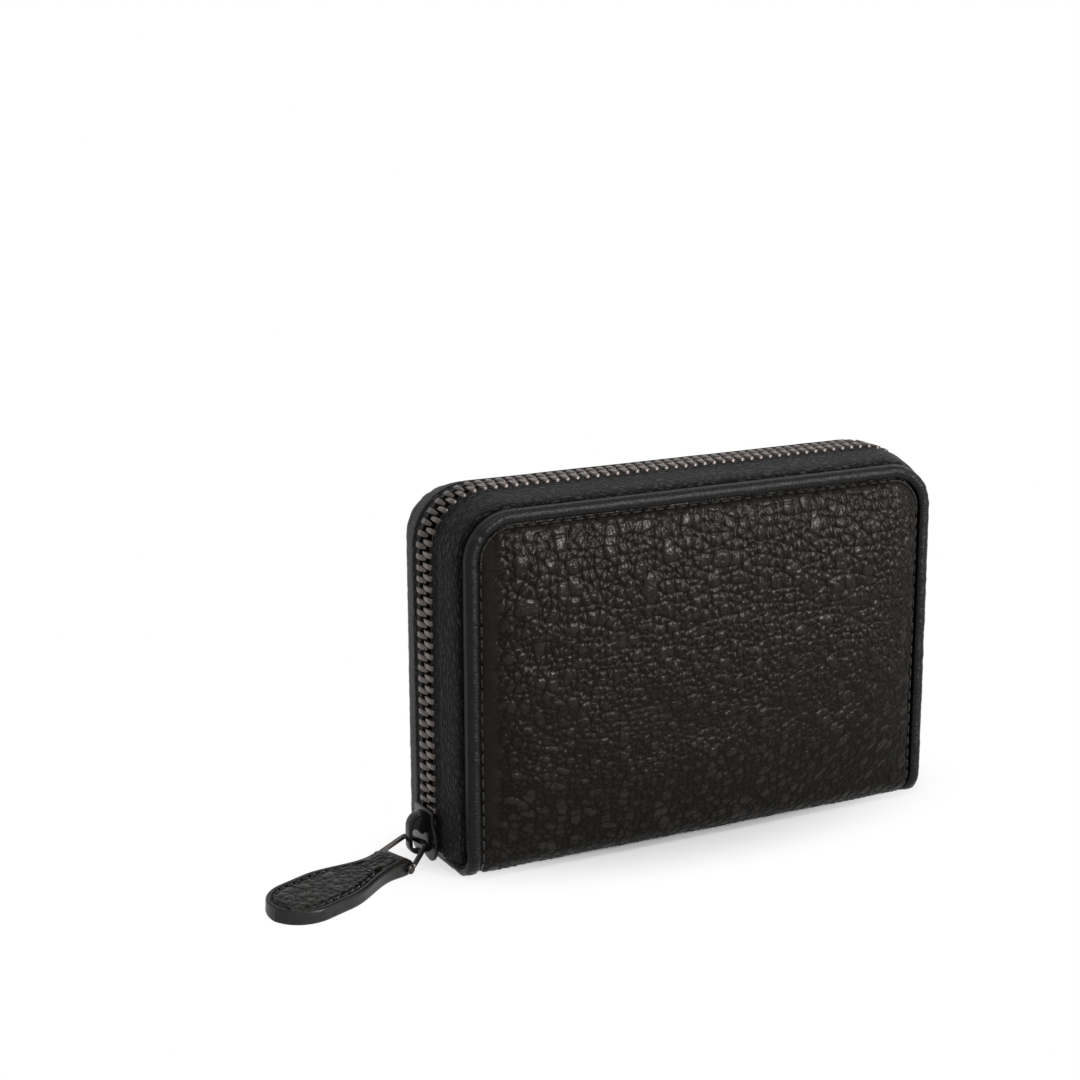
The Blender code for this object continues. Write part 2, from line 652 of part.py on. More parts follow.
def crown_line():
    """The middle line of the crown's band, in X and Z: out of the plate, round, and back."""
    foot = SLIDER_FOOT + CROWN_BASE_RISE + CROWN_WALL / 2
    top = SLIDER_FOOT + SLIDER_HEIGHT - CROWN_TOP_DROP - CROWN_WALL / 2
    base = -(PLATE_OUTER_FACE + HARDWARE_GAP)
    out = base - CROWN_EYE_DEPTH - CROWN_WALL / 2
    radius = CROWN_EYE_DEPTH * 0.62
    line = [(base, foot)]
    line += [(x, z) for x, z in arc(out + radius, foot + radius, radius, -math.pi / 2, -math.pi,
                                    OUTLINE_STEPS // 2)]
    line += arc(out + CROWN_EYE_DEPTH, top - CROWN_EYE_DEPTH, CROWN_EYE_DEPTH, math.pi,
                math.pi / 2, OUTLINE_STEPS // 2)
    return line + [(base, top)]


def make_crown():
    """The arched crown over the slider's outer plate, and the leaf of its lock inside it."""
    crown = slab("zip_slider_crown", band(crown_line(), CROWN_WALL), 2 * CROWN_HALF_WIDTH,
                 BLACK_METAL)
    stand_facing_y(crown, 0)
    top = SLIDER_FOOT + SLIDER_HEIGHT - CROWN_TOP_DROP - CROWN_WALL
    base = -(PLATE_OUTER_FACE + HARDWARE_GAP + LOCK_SPRING_THICKNESS / 2)
    drop, out = CROWN_EYE_DEPTH * 0.9, CROWN_EYE_DEPTH * 0.5
    leaf = [(base, top - SEWN_GAP), (base, top - drop * 0.35), (base - out, top - drop * 0.75),
            (base, top - drop)]
    spring = slab("slider_lock_spring", band(leaf, LOCK_SPRING_THICKNESS),
                  2 * LOCK_SPRING_HALF_WIDTH, SPRING_STEEL)
    stand_facing_y(spring, 0)


RING_PITCH = math.asin((EYE_Z - TAB_REST_HEIGHT) / RING_LENGTH)


def empty(name, location, turned, parent=None):
    made = bpy.data.objects.new(name, None)
    PARTS.objects.link(made)
    made.location = location
    made.rotation_euler = turned
    made.parent = parent
    return made


def make_ring(pivot):
    """The wire ring: its near bar turns in the crown, its far bar holds the tab."""
    r, length = RING_CORNER_RADIUS, RING_LENGTH
    near, far = RING_NEAR_HALF_WIDTH, RING_FAR_HALF_WIDTH
    quarter = math.pi / 2
    loop = arc(length - r, far - r, r, quarter, 0, 3) + arc(length - r, r - far, r, 0, -quarter, 3)
    loop += arc(r, r - near, r, -quarter, -2 * quarter, 3)
    loop += arc(r, near - r, r, 2 * quarter, quarter, 3)
    ring = poly_curve("pull_ring", loop, True, BLACK_METAL)
    ring.data.dimensions = "3D"
    ring.data.bevel_depth = RING_WIRE_RADIUS
    ring.data.bevel_resolution = 2
    ring.parent = pivot


def tab_half_width(along, inset):
    """Half the tab's width at a distance from its hinge, set in by the inset."""
    end = TAB_LENGTH - inset
    round_length = TAB_END_LENGTH - inset
    wide, neck = TAB_HALF_WIDTH - inset, TAB_NECK_HALF_WIDTH - inset
    share = min(max((along - TAB_NECK_LENGTH) / TAB_SHOULDER_LENGTH, 0), 1)
    width = neck + (wide - neck) * share * share * (3 - 2 * share)
    if along > end - round_length:
        width *= math.sqrt(max(1 - ((along - end + round_length) / round_length) ** 2, 0))
    return width


def tab_outline(start, inset):
    """The tab's plan, from its neck to its round end and back."""
    shoulder = [TAB_NECK_LENGTH + TAB_SHOULDER_LENGTH * k / OUTLINE_STEPS
                for k in range(OUTLINE_STEPS + 1)]
    round_length = TAB_END_LENGTH - inset
    last = TAB_LENGTH - inset
    turns = [math.pi / 2 * k / OUTLINE_STEPS for k in range(OUTLINE_STEPS + 1)]
    end = [last - round_length + round_length * math.sin(turn) for turn in turns]
    spots = [start] + [u for u in shoulder if u > start] + end
    half = [(u, tab_half_width(u, inset)) for u in spots[:-1]]
    return half + [(last, 0)] + [(u, -v) for u, v in reversed(half)]


def make_tab(pivot):
    """One strip of leather folded round the ring's far bar, and the filler between its layers."""
    layer = TAB_LEATHER_THICKNESS
    middle = TAB_CORE_THICKNESS / 2 + PLY_GAP + layer / 2
    far = TAB_LENGTH + CUT_OVERRUN
    loop = RING_WIRE_RADIUS + PLY_GAP + layer / 2
    line = [(far, middle), (TAB_NECK_LENGTH, middle)]
    line += arc(0, 0, loop, math.pi / 2, math.pi * 1.5, LOOP_STEPS)
    line += [(TAB_NECK_LENGTH, -middle), (far, -middle)]
    tab = slab("pull_tab_leather", band(line, layer), 2 * (TAB_HALF_WIDTH + CUT_OVERRUN),
               PEBBLED_LEATHER)
    tab.rotation_euler = (math.pi / 2, 0, 0)
    tab = as_mesh(tab)
    start = -middle - layer - CUT_OVERRUN
    plan = slab("tab_plan_cutter", tab_outline(start, 0), 4 * (middle + layer), None, CUTTERS)
    plan = guide(as_mesh(plan, CUTTERS))
    boolean(tab, plan, "INTERSECT")
    core = slab("pull_tab_core", tab_outline(TAB_CORE_START, TAB_CORE_INSET), TAB_CORE_THICKNESS,
                TAB_CORE)
    for obj in (tab, plan, core):
        obj.parent = pivot


def make_pull():
    """The pull lies on the surface that the wallet stands on, turned a little to the front."""
    heading = empty("pull_heading", (EYE_X, 0, EYE_Z), (PULL_ROLL, 0, math.pi + PULL_HEADING))
    ring_pivot = empty("pull_ring_pivot", (0, 0, 0), (0, RING_PITCH, 0), heading)
    far = (RING_LENGTH * math.cos(RING_PITCH), 0, -RING_LENGTH * math.sin(RING_PITCH))
    tab_pivot = empty("pull_tab_pivot", far, (0, 0, 0), heading)
    make_ring(ring_pivot)
    make_tab(tab_pivot)


def make_wallet():
    make_leathers()
    make_cover("rear", REAR)
    make_cover("front", FRONT)
    make_spine()
    make_teeth("rear_zip_teeth", REAR, 0)
    make_teeth("front_zip_teeth", FRONT, TOOTH_PITCH / 2)
    make_zip_stops()
    make_pockets()
    make_slider()
    make_crown()
    make_pull()
    empty("cover_hinge", (0, HINGE_Y, HINGE_HEIGHT), (0, 0, 0))


make_wallet()
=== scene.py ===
# %% [markdown]
# # A zip-around card wallet in black leather
# The frame gives plain solids for the covers, the zip, the card pockets and the pull. This lesson
# dresses each of them: pebbled leather over foam, rolled edges, woven tape, metal teeth, a black
# slider and a stitched leather pull. Lengths are written in millimetres times MM.

# %% Load the frame and keep its size
import math

import bpy
import numpy as np
from mathutils import Matrix, Vector


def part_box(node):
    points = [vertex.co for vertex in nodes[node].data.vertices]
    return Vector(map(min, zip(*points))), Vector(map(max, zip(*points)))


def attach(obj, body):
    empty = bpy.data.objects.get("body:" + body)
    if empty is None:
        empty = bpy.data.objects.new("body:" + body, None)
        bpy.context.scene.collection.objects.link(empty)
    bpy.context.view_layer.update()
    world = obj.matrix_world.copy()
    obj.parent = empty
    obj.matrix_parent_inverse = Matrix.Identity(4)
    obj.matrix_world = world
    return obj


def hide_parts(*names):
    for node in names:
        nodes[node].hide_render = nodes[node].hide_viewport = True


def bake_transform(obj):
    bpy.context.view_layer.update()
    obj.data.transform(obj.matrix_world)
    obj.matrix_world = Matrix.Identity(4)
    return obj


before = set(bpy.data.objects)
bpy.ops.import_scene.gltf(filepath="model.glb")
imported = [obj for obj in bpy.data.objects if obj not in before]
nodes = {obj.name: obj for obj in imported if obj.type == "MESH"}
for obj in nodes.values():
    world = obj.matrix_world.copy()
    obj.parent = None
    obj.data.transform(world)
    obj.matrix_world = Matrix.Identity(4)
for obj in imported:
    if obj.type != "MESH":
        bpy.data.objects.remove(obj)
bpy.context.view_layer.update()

MM = 0.001

# %% [markdown]
# The wallet stands closed on its spine. The photograph looks at its front cover from the left
# and a little from above, through a long lens. A camera's own axes are written as columns of a
# matrix: right, up, and the way back from what it looks at.

# %% Camera
CAMERA_PLACE = Vector((-230.5, -385.7, 169.4)) * MM
CAMERA_YAW, CAMERA_PITCH, CAMERA_ROLL = (math.radians(a) for a in (27.28, 13.58, -0.23))
CAMERA_LENS = 73.6

ahead = Vector((math.sin(CAMERA_YAW), math.cos(CAMERA_YAW), -math.tan(CAMERA_PITCH))).normalized()
level = Vector((math.cos(CAMERA_YAW), -math.sin(CAMERA_YAW), 0))
above = level.cross(ahead)
right = level * math.cos(CAMERA_ROLL) + above * math.sin(CAMERA_ROLL)
up = above * math.cos(CAMERA_ROLL) - level * math.sin(CAMERA_ROLL)
bpy.ops.object.camera_add()
camera = bpy.context.object
turned = Matrix((right, up, -ahead)).transposed().to_4x4()
camera.matrix_world = Matrix.Translation(CAMERA_PLACE) @ turned
camera.data.lens = CAMERA_LENS
camera.data.clip_start = 0.01
bpy.context.scene.camera = camera
print("camera looks along", [round(v, 3) for v in ahead])

# %% [markdown]
# The set is a pale floor under a white surround. The world is white where the camera, a glossy
# ray or a see-through ray meets it, and dimmer where it lights the object, so the background is
# white without more light on the leather. The floor fades into that white with the distance,
# and near the wallet it stays paper, so that it keeps the soft shadow.

# %% Floor, world and lamps
SURROUND_LIGHT = 0.30
FLOOR_SIZE = 6.0
FLOOR_COLOUR, FLOOR_ROUGHNESS, FLOOR_SPECULAR = (0.90, 0.90, 0.895, 1), 0.9, 0.1
FADE_FROM, FADE_TO, FADE_ALONG = 0.012, 0.034, 0.45
GLOW_NEAR, GLOW_FAR = 0.10, 1.0
WHITE = (1, 1, 1, 1)
# Each lamp has a name, a place, an aim, a width, a height and a power.
LAMPS = [("lamp_above", (-0.15, -0.25, 0.80), (0, 0, 0.03), 0.25, 0.25, 1.7),
         ("lamp_high_right", (0.34, -0.66, 0.40), (0, 0, 0.05), 0.17, 0.17, 3.3),
         ("lamp_low_right", (0.40, -0.74, 0.15), (0, 0, 0.05), 0.12, 0.22, 3.9)]


def add_node(tree, kind, inputs=None, **settings):
    """Add a shader node; each input gets a value, or a link from another node's output."""
    made = tree.nodes.new("ShaderNode" + kind)
    for key, value in settings.items():
        setattr(made, key, value)
    for key, value in (inputs or {}).items():
        if isinstance(value, bpy.types.NodeSocket):
            tree.links.new(value, made.inputs[key])
        else:
            made.inputs[key].default_value = value
    return made


def larger(tree, first, second):
    return add_node(tree, "Math", {0: first, 1: second}, operation="MAXIMUM").outputs[0]


def seen_by_eye(tree):
    """One where a camera, glossy or see-through ray arrives, else zero."""
    ray = add_node(tree, "LightPath").outputs
    either = larger(tree, ray["Is Camera Ray"], ray["Is Glossy Ray"])
    return larger(tree, either, ray["Is Transmission Ray"])


world = bpy.data.worlds.new("white_surround")
world.use_nodes = True
bpy.context.scene.world = world
sky = world.node_tree
lit = sky.nodes["Background"]
lit.inputs["Color"].default_value = WHITE
lit.inputs["Strength"].default_value = SURROUND_LIGHT
shown = add_node(sky, "Background", {"Color": WHITE, "Strength": 1.0})
choose = add_node(sky, "MixShader", {0: seen_by_eye(sky), 1: lit.outputs[0], 2: shown.outputs[0]})
sky.links.new(choose.outputs[0], sky.nodes["World Output"].inputs["Surface"])

bpy.ops.mesh.primitive_plane_add(size=FLOOR_SIZE)
floor = bpy.context.object
floor.name = "floor"
paper = bpy.data.materials.new("pale_paper")
paper.use_nodes = True
tree = paper.node_tree
matt = tree.nodes["Principled BSDF"]
matt.inputs["Base Color"].default_value = FLOOR_COLOUR
matt.inputs["Roughness"].default_value = FLOOR_ROUGHNESS
matt.inputs["Specular IOR Level"].default_value = FLOOR_SPECULAR
place = add_node(tree, "TexCoord").outputs["Object"]
shorter = add_node(tree, "Mapping", {"Vector": place, "Scale": (FADE_ALONG, 1, 1)})
away = add_node(tree, "VectorMath", {0: shorter.outputs[0]}, operation="LENGTH")
fade = add_node(tree, "MapRange", {"Value": away.outputs["Value"], "From Min": FADE_FROM,
                                   "From Max": FADE_TO, "To Min": GLOW_NEAR, "To Max": GLOW_FAR},
                interpolation_type="SMOOTHSTEP")
share = add_node(tree, "Math", {0: fade.outputs[0], 1: seen_by_eye(tree)}, operation="MULTIPLY")
glow = add_node(tree, "Emission", {"Color": WHITE, "Strength": 1.0})
mixed = add_node(tree, "MixShader", {0: share.outputs[0], 1: matt.outputs[0], 2: glow.outputs[0]})
tree.links.new(mixed.outputs[0], tree.nodes["Material Output"].inputs["Surface"])
floor.data.materials.append(paper)

for name, place, aim, wide, tall, power in LAMPS:
    bpy.ops.object.light_add(type="AREA", location=place)
    lamp = bpy.context.object
    lamp.name = name
    lamp.data.shape = "RECTANGLE"
    lamp.data.size, lamp.data.size_y = wide, tall
    lamp.data.energy = power
    lamp.rotation_mode = "QUATERNION"
    lamp.rotation_quaternion = (Vector(aim) - Vector(place)).to_track_quat("-Z", "Y")
bpy.context.scene.view_settings.view_transform = "Standard"
print("floor, surround and", len(LAMPS), "lamps")

# %% [markdown]
# Every finish below is a small network of nodes. Patterns are measured in millimetres, on
# Object coordinates where they are part of the material, and on a piece's own UV map where a
# weave has to follow a bent strip. These helpers keep each finish to a few lines.

# %% Helpers for finishes
TO_MM = 1000.0
COAT_ROUGHNESS, SHEEN_ROUGHNESS = 0.12, 0.45


def new_finish(name, colour, roughness, metallic=0.0, specular=0.5, coat=0.0, sheen=0.0):
    """A material with its constant values on the shader; returns it, its tree and its shader."""
    made = bpy.data.materials.new(name)
    made.use_nodes = True
    shader = made.node_tree.nodes["Principled BSDF"]
    values = {"Base Color": (*colour, 1), "Roughness": roughness, "Metallic": metallic,
              "Specular IOR Level": specular, "Coat Weight": coat,
              "Coat Roughness": COAT_ROUGHNESS, "Sheen Weight": sheen,
              "Sheen Roughness": SHEEN_ROUGHNESS}
    for key, value in values.items():
        shader.inputs[key].default_value = value
    return made, made.node_tree, shader


def stretched(tree, place, scale):
    return add_node(tree, "Mapping", {"Vector": place, "Scale": scale}).outputs[0]


def object_mm(tree, stretch=(1, 1, 1)):
    """Object coordinates in millimetres, each axis divided by its stretch."""
    place = add_node(tree, "TexCoord").outputs["Object"]
    return stretched(tree, place, [TO_MM / s for s in stretch])


def uv_mm(tree, stretch=(1, 1, 1)):
    """The piece's own UV map, which is written in millimetres."""
    place = add_node(tree, "UVMap", uv_map="surface_mm").outputs[0]
    return stretched(tree, place, [1 / s for s in stretch])


def ripple(tree, place, across, pitch):
    """A wave from 0 to 1 with a crest every pitch millimetres along the direction across."""
    way = Vector(across).normalized() * (2 * math.pi / pitch)
    along = add_node(tree, "VectorMath", {0: place, 1: way}, operation="DOT_PRODUCT")
    wave = add_node(tree, "Math", {0: along.outputs["Value"]}, operation="SINE")
    half = add_node(tree, "Math", {0: wave.outputs[0], 1: 0.5, 2: 0.5}, operation="MULTIPLY_ADD")
    return half.outputs[0]


def cloud(tree, place, size, detail=4.0, rough=0.6):
    """Smooth noise with blotches of about the given size in millimetres."""
    return add_node(tree, "TexNoise", {"Vector": place, "Scale": 1 / size, "Detail": detail,
                                       "Roughness": rough}).outputs[0]


def cells(tree, place, size, scatter):
    """How far a place is from the nearest border between scattered cells."""
    return add_node(tree, "TexVoronoi", {"Vector": place, "Scale": 1 / size, "Randomness": scatter},
                    feature="DISTANCE_TO_EDGE").outputs["Distance"]


def weigh(tree, first, second, share):
    """first plus share times second."""
    made = add_node(tree, "Math", {0: second, 1: share, 2: first}, operation="MULTIPLY_ADD")
    return made.outputs[0]


def remap(tree, source, from_low, from_high, to_low, to_high):
    """Turn one range of values into another, clamped."""
    return add_node(tree, "MapRange", {"Value": source, "From Min": from_low, "From Max": from_high,
                                       "To Min": to_low, "To Max": to_high}).outputs[0]


def blend_colours(tree, share, first, second):
    """A colour from first to second; each is three numbers or another node's colour."""
    made = add_node(tree, "Mix", {0: share}, data_type="RGBA")
    for entry, colour in zip([s for s in made.inputs if s.type == "RGBA"], (first, second)):
        if isinstance(colour, tuple):
            entry.default_value = (*colour, 1)
        else:
            tree.links.new(colour, entry)
    return next(s for s in made.outputs if s.type == "RGBA")


def colour_by(tree, shader, source, dark, light):
    """Base colour from dark where the source is 0 to light where it is 1."""
    tree.links.new(blend_colours(tree, source, dark, light), shader.inputs["Base Color"])


def bump_by(tree, shader, source, height_mm):
    """Raise the surface by the source, height_mm high where it is 1."""
    made = add_node(tree, "Bump", {"Height": source, "Strength": 1.0, "Distance": height_mm * MM})
    tree.links.new(made.outputs[0], shader.inputs["Normal"])


# %% [markdown]
# The outer leather is full-grain and tumbled: small pits with creases running from pit to pit
# like the lines of a star, and domed lumps between. All of these are modelled in the mesh, which
# also carries a value for the finish: 0 in a crease and 1 on a lump. The finish reads it, so
# creases and pits are duller and get a painted shade, a much darker base colour. It also adds
# the pores and hair-fine wrinkles, and the wrinkles get a little painted shade too.

# %% Finish: pebbled leather
WARM_SHINE = (1.0, 0.92, 0.86, 1)
PORE_SIZE, BLOTCH_SIZE, HAIRLINE_SIZE = 0.22, 9.0, 0.85

PEBBLED, tree, shader = new_finish("pebbled_leather", (0.010, 0.009, 0.0085), 0.30, specular=0.115)
shader.inputs["Specular Tint"].default_value = WARM_SHINE
place = object_mm(tree)
grain = add_node(tree, "Attribute", attribute_name="grain").outputs["Fac"]
pores = cloud(tree, place, PORE_SIZE, 3.0, 0.65)
blotch = cloud(tree, place, BLOTCH_SIZE, 2.0)
fine = remap(tree, cells(tree, place, HAIRLINE_SIZE, 1.0), 0.0, 0.12, 0.0, 1.0)
bump_by(tree, shader, weigh(tree, fine, pores, 0.35), 0.015)
# Painted shade: the base colour is darkened in the creases, pits and hairline wrinkles; the blotches
# add uneven tone.
crease_shade_and_blotch = weigh(tree, weigh(tree, grain, blotch, 0.25), fine, 0.12)
colour_by(tree, shader, remap(tree, crease_shade_and_blotch, 0.50, 1.25, 0, 1), (0.0003, 0.0003, 0.0002),
          (0.0150, 0.0125, 0.0110))
gloss = weigh(tree, grain, pores, -0.3)
tree.links.new(remap(tree, gloss, 0.0, 0.7, 0.38, 0.185), shader.inputs["Roughness"])
print("finish", PEBBLED.name)

# %% [markdown]
# The rolled edges are a thinner, smooth leather pulled round the rim. It shows fine wrinkles
# across the roll, so its pattern is stretched over the width of the strip on the UV map, and
# their troughs get a painted shade, a darker base colour. The cut edge of the pull is painted,
# and the paint is a little uneven.

# %% Finish: smooth leather, and the painted edge of the pull
SMOOTH, tree, shader = new_finish("smooth_leather", (0.008, 0.0078, 0.0076), 0.28, specular=0.15)
creases = cloud(tree, uv_mm(tree, (0.5, 1.6, 1)), 1.0)
pores = cloud(tree, object_mm(tree), PORE_SIZE, 2.0)
bump_by(tree, shader, weigh(tree, creases, pores, 0.3), 0.15)
# Painted shade: the base colour is darker in the troughs of the wrinkles.
colour_by(tree, shader, remap(tree, creases, 0.3, 0.7, 0, 1), (0.0010, 0.0009, 0.0008),
          (0.0070, 0.0067, 0.0064))
tree.links.new(remap(tree, creases, 0.3, 0.75, 0.36, 0.19), shader.inputs["Roughness"])

PAINTED, tree, shader = new_finish("painted_edge", (0.012, 0.012, 0.012), 0.32, specular=0.22)
uneven = cloud(tree, object_mm(tree, (2.2, 1, 1)), 0.8)
bump_by(tree, shader, uneven, 0.06)
colour_by(tree, shader, remap(tree, uneven, 0.3, 0.8, 0, 1), (0.009, 0.009, 0.009),
          (0.022, 0.021, 0.020))
tree.links.new(remap(tree, uneven, 0.3, 0.7, 0.42, 0.28), shader.inputs["Roughness"])
print("finishes", SMOOTH.name, PAINTED.name)

# %% [markdown]
# The zip's tape is a close weave whose strands are drawn out along it and wander a little, with
# fine yarns across them. Each of the other cloths is two crossed ripples, a coarse one for its
# ridges and a fine one for its single yarns: the diagonals of the lining's twill, the straight
# ribs of the pockets' grosgrain, and the twist of the thread. In every cloth the hollows between
# strands, ridges and yarns get a painted shade, a darker base colour.

# %% Finishes: tape, lining, pocket cloth, ribbon, piping and thread
STRAND_LONG, STRAND_WIDE, STRAND_LEAN = 1.9, 0.72, 0.22
STRAND_WANDER, WANDER_SIZE = (0.0, 0.9, 0.0), 1 / 0.55
TAPE_YARN_PITCH = 0.42


def woven(name, dark, light, ridge, ridge_pitch, yarn, yarn_pitch, height, roughness):
    """A cloth of ridges and yarns; ridge and yarn are the directions across them."""
    made, tree, shader = new_finish(name, dark, roughness, specular=0.25, sheen=0.25)
    place = object_mm(tree)
    ridges = ripple(tree, place, ridge, ridge_pitch)
    yarns = ripple(tree, place, yarn, yarn_pitch)
    fuzz = cloud(tree, place, 0.35, 3.0, 0.7)
    cloth = weigh(tree, weigh(tree, ridges, yarns, 0.45), fuzz, 0.9)
    bump_by(tree, shader, cloth, height)
    # Painted shade: the base colour is darker in the hollows between ridges and yarns; the fuzz adds
    # uneven tone.
    colour_by(tree, shader, remap(tree, cloth, 0.35, 1.75, 0, 1), dark, light)
    return made


TAPE, tree, shader = new_finish("zip_tape", (0.015, 0.0143, 0.0158), 0.5, specular=0.10, sheen=0.03)
place = uv_mm(tree)
wander = add_node(tree, "TexNoise", {"Vector": place, "Scale": 1 / WANDER_SIZE, "Detail": 2.0})
pulled = add_node(tree, "VectorMath", {0: wander.outputs["Color"], 1: STRAND_WANDER, 2: place},
                  operation="MULTIPLY_ADD")
drawn_out = add_node(tree, "Mapping", {"Vector": pulled.outputs[0], "Rotation": (0, 0, STRAND_LEAN),
                                       "Scale": (1 / STRAND_LONG, 1 / STRAND_WIDE, 1)})
strands = remap(tree, cells(tree, drawn_out.outputs[0], 1.0, 0.9), 0.0, 0.30, 0.0, 1.0)
yarns = ripple(tree, place, (0.6, 0.8, 0), TAPE_YARN_PITCH)
fuzz = cloud(tree, place, 0.30, 3.0, 0.7)
cloth = weigh(tree, weigh(tree, strands, yarns, 0.30), fuzz, 0.8)
bump_by(tree, shader, cloth, 0.44)
# Painted shade: the base colour is near black in the hollows between strands and yarns; the fuzz adds
# uneven tone.
colour_by(tree, shader, remap(tree, cloth, 0.80, 1.50, 0, 1), (0.0004, 0.0004, 0.0005),
          (0.0330, 0.0310, 0.0345))

TWILL = woven("twill_lining", (0.006, 0.006, 0.007), (0.030, 0.029, 0.031),
              (0.75, 0, -0.66), 0.55, (0.66, 0, 0.75), 0.33, 0.045, 0.62)
WALL_CLOTH = woven("ribbed_nylon", (0.003, 0.003, 0.005), (0.034, 0.034, 0.041),
                   (0.05, 0, 1), 0.66, (1, 0, 0), 0.30, 0.07, 0.5)
GROSGRAIN = woven("gusset_grosgrain", (0.004, 0.004, 0.005), (0.030, 0.030, 0.031),
                  (0, 0, 1), 0.62, (1, 0.4, 0), 0.28, 0.08, 0.55)
RIBBON = woven("gusset_ribbon", (0.020, 0.020, 0.022), (0.10, 0.10, 0.105),
               (0.5, 0, 0.86), 0.58, (0.86, 0, -0.5), 0.30, 0.05, 0.5)
PIPING = woven("wall_piping", (0.030, 0.030, 0.031), (0.13, 0.13, 0.132),
               (1, 0, 0.4), 0.5, (1, 0, -0.6), 0.33, 0.04, 0.5)
THREAD = woven("sewing_thread", (0.0020, 0.0017, 0.0015), (0.0105, 0.0085, 0.0075),
               (1, 0.5, 0.6), 0.34, (0.4, 1, -0.7), 0.26, 0.05, 0.55)
cloths = (TAPE, TWILL, WALL_CLOTH, GROSGRAIN, RIBBON, PIPING, THREAD)
print("cloths", *[cloth.name for cloth in cloths])

# %% [markdown]
# The teeth have an antique finish: dark brown-grey metal, lighter on its edges and a little
# uneven. The slider is lacquered black and glossy, and the ring a dark gunmetal. On all of
# them the lighter edges are partly rubbed wear and partly a painted highlight. The Geometry
# node's pointiness finds these edges from the bent mesh alone.

# %% Finishes: metals
TARNISH_SIZE, SCRATCH_STRETCH = 0.9, (0.15, 1.2, 1.2)


def worn_metal_with_highlit_edges(name, dark, light, rubbed, roughness, coat=0.0, metallic=0.9, specular=0.5):
    """A metal with uneven tarnish and lighter edges, partly rubbed wear and partly a painted
    highlight.
    """
    made, tree, shader = new_finish(name, dark, roughness, metallic, specular, coat)
    tarnish = cloud(tree, object_mm(tree), TARNISH_SIZE, 5.0, 0.65)
    scratch = cloud(tree, object_mm(tree, SCRATCH_STRETCH), TARNISH_SIZE, 3.0)
    edge = add_node(tree, "NewGeometry").outputs["Pointiness"]
    base = blend_colours(tree, remap(tree, tarnish, 0.35, 0.7, 0, 1), dark, light)
    # Rubbed wear and painted highlight: the base colour turns lighter on sharp edges.
    colour_by(tree, shader, remap(tree, edge, 0.52, 0.66, 0, 1), base, rubbed)
    dull = remap(tree, weigh(tree, tarnish, scratch, 0.5), 0.4, 1.1,
                 roughness * 0.75, roughness * 1.35)
    tree.links.new(dull, shader.inputs["Roughness"])
    bump_by(tree, shader, weigh(tree, tarnish, scratch, 0.6), 0.008)
    return made


ANTIQUE = worn_metal_with_highlit_edges("antique_metal", (0.016, 0.013, 0.012), (0.034, 0.028, 0.025),
                     (0.105, 0.088, 0.080), 0.36)
BLACK_METAL = worn_metal_with_highlit_edges("black_metal", (0.005, 0.005, 0.0055), (0.010, 0.010, 0.0105),
                         (0.035, 0.034, 0.033), 0.20, coat=0.05, metallic=0.08, specular=0.17)
GUNMETAL = worn_metal_with_highlit_edges("gunmetal_wire", (0.020, 0.017, 0.016), (0.045, 0.039, 0.037),
                      (0.16, 0.14, 0.13), 0.26, coat=0.15)
STEEL = worn_metal_with_highlit_edges("spring_steel", (0.020, 0.020, 0.021), (0.045, 0.045, 0.046),
                   (0.12, 0.12, 0.12), 0.3)
print("metals", *[metal.name for metal in (ANTIQUE, BLACK_METAL, GUNMETAL, STEEL)])

# %% [markdown]
# Some pieces stay hidden inside: foam, boards and the filler of the pull. The stiff boards keep
# their shape from the frame. The soft fillings get pieces of their own further down.

# %% Finishes: hidden fillings


def filling(name, dark, light, size, height, roughness):
    """A dull, speckled filling such as foam or pulp board."""
    made, tree, shader = new_finish(name, dark, roughness, specular=0.2)
    specks = cloud(tree, object_mm(tree), size, 5.0, 0.7)
    colour_by(tree, shader, remap(tree, specks, 0.3, 0.7, 0, 1), dark, light)
    bump_by(tree, shader, specks, height)
    return made


def refinish(node, finish):
    """Give a finish to a piece that keeps its shape from the frame."""
    nodes[node].data.materials.clear()
    nodes[node].data.materials.append(finish)


FOAM = filling("foam", (0.22, 0.21, 0.20), (0.36, 0.35, 0.33), 0.5, 0.12, 0.95)
BOARD = filling("card_board", (0.17, 0.14, 0.10), (0.29, 0.24, 0.18), 1.2, 0.03, 0.9)
TAB_FILLER = filling("tab_core", (0.03, 0.027, 0.024), (0.07, 0.062, 0.055), 0.6, 0.04, 0.85)
boards = ["front_cover_board", "rear_cover_board", "spine_board"]
for board in boards:
    refinish(board, BOARD)
print("boards", boards)

# %% [markdown]
# Every bent strip and sheet here starts as a flat grid. A function then says where each of its
# points goes, and the grid is laid along it, as a maker lays leather on a last. The grid's UV
# map is written in millimetres along and across, so a weave keeps its size round the corners.

# %% Helpers: lay a grid along a shape
WELD = 0.002 * MM
SAME = 1e-9
ALONG_X, ALONG_Y = (0, math.pi / 2, 0), (math.pi / 2, 0, 0)


def clear_selection():
    if bpy.context.object and bpy.context.object.mode != "OBJECT":
        bpy.ops.object.mode_set(mode="OBJECT")
    bpy.ops.object.select_all(action="DESELECT")


def pick(obj):
    """Select one object alone."""
    clear_selection()
    bpy.context.view_layer.objects.active = obj
    obj.select_set(True)


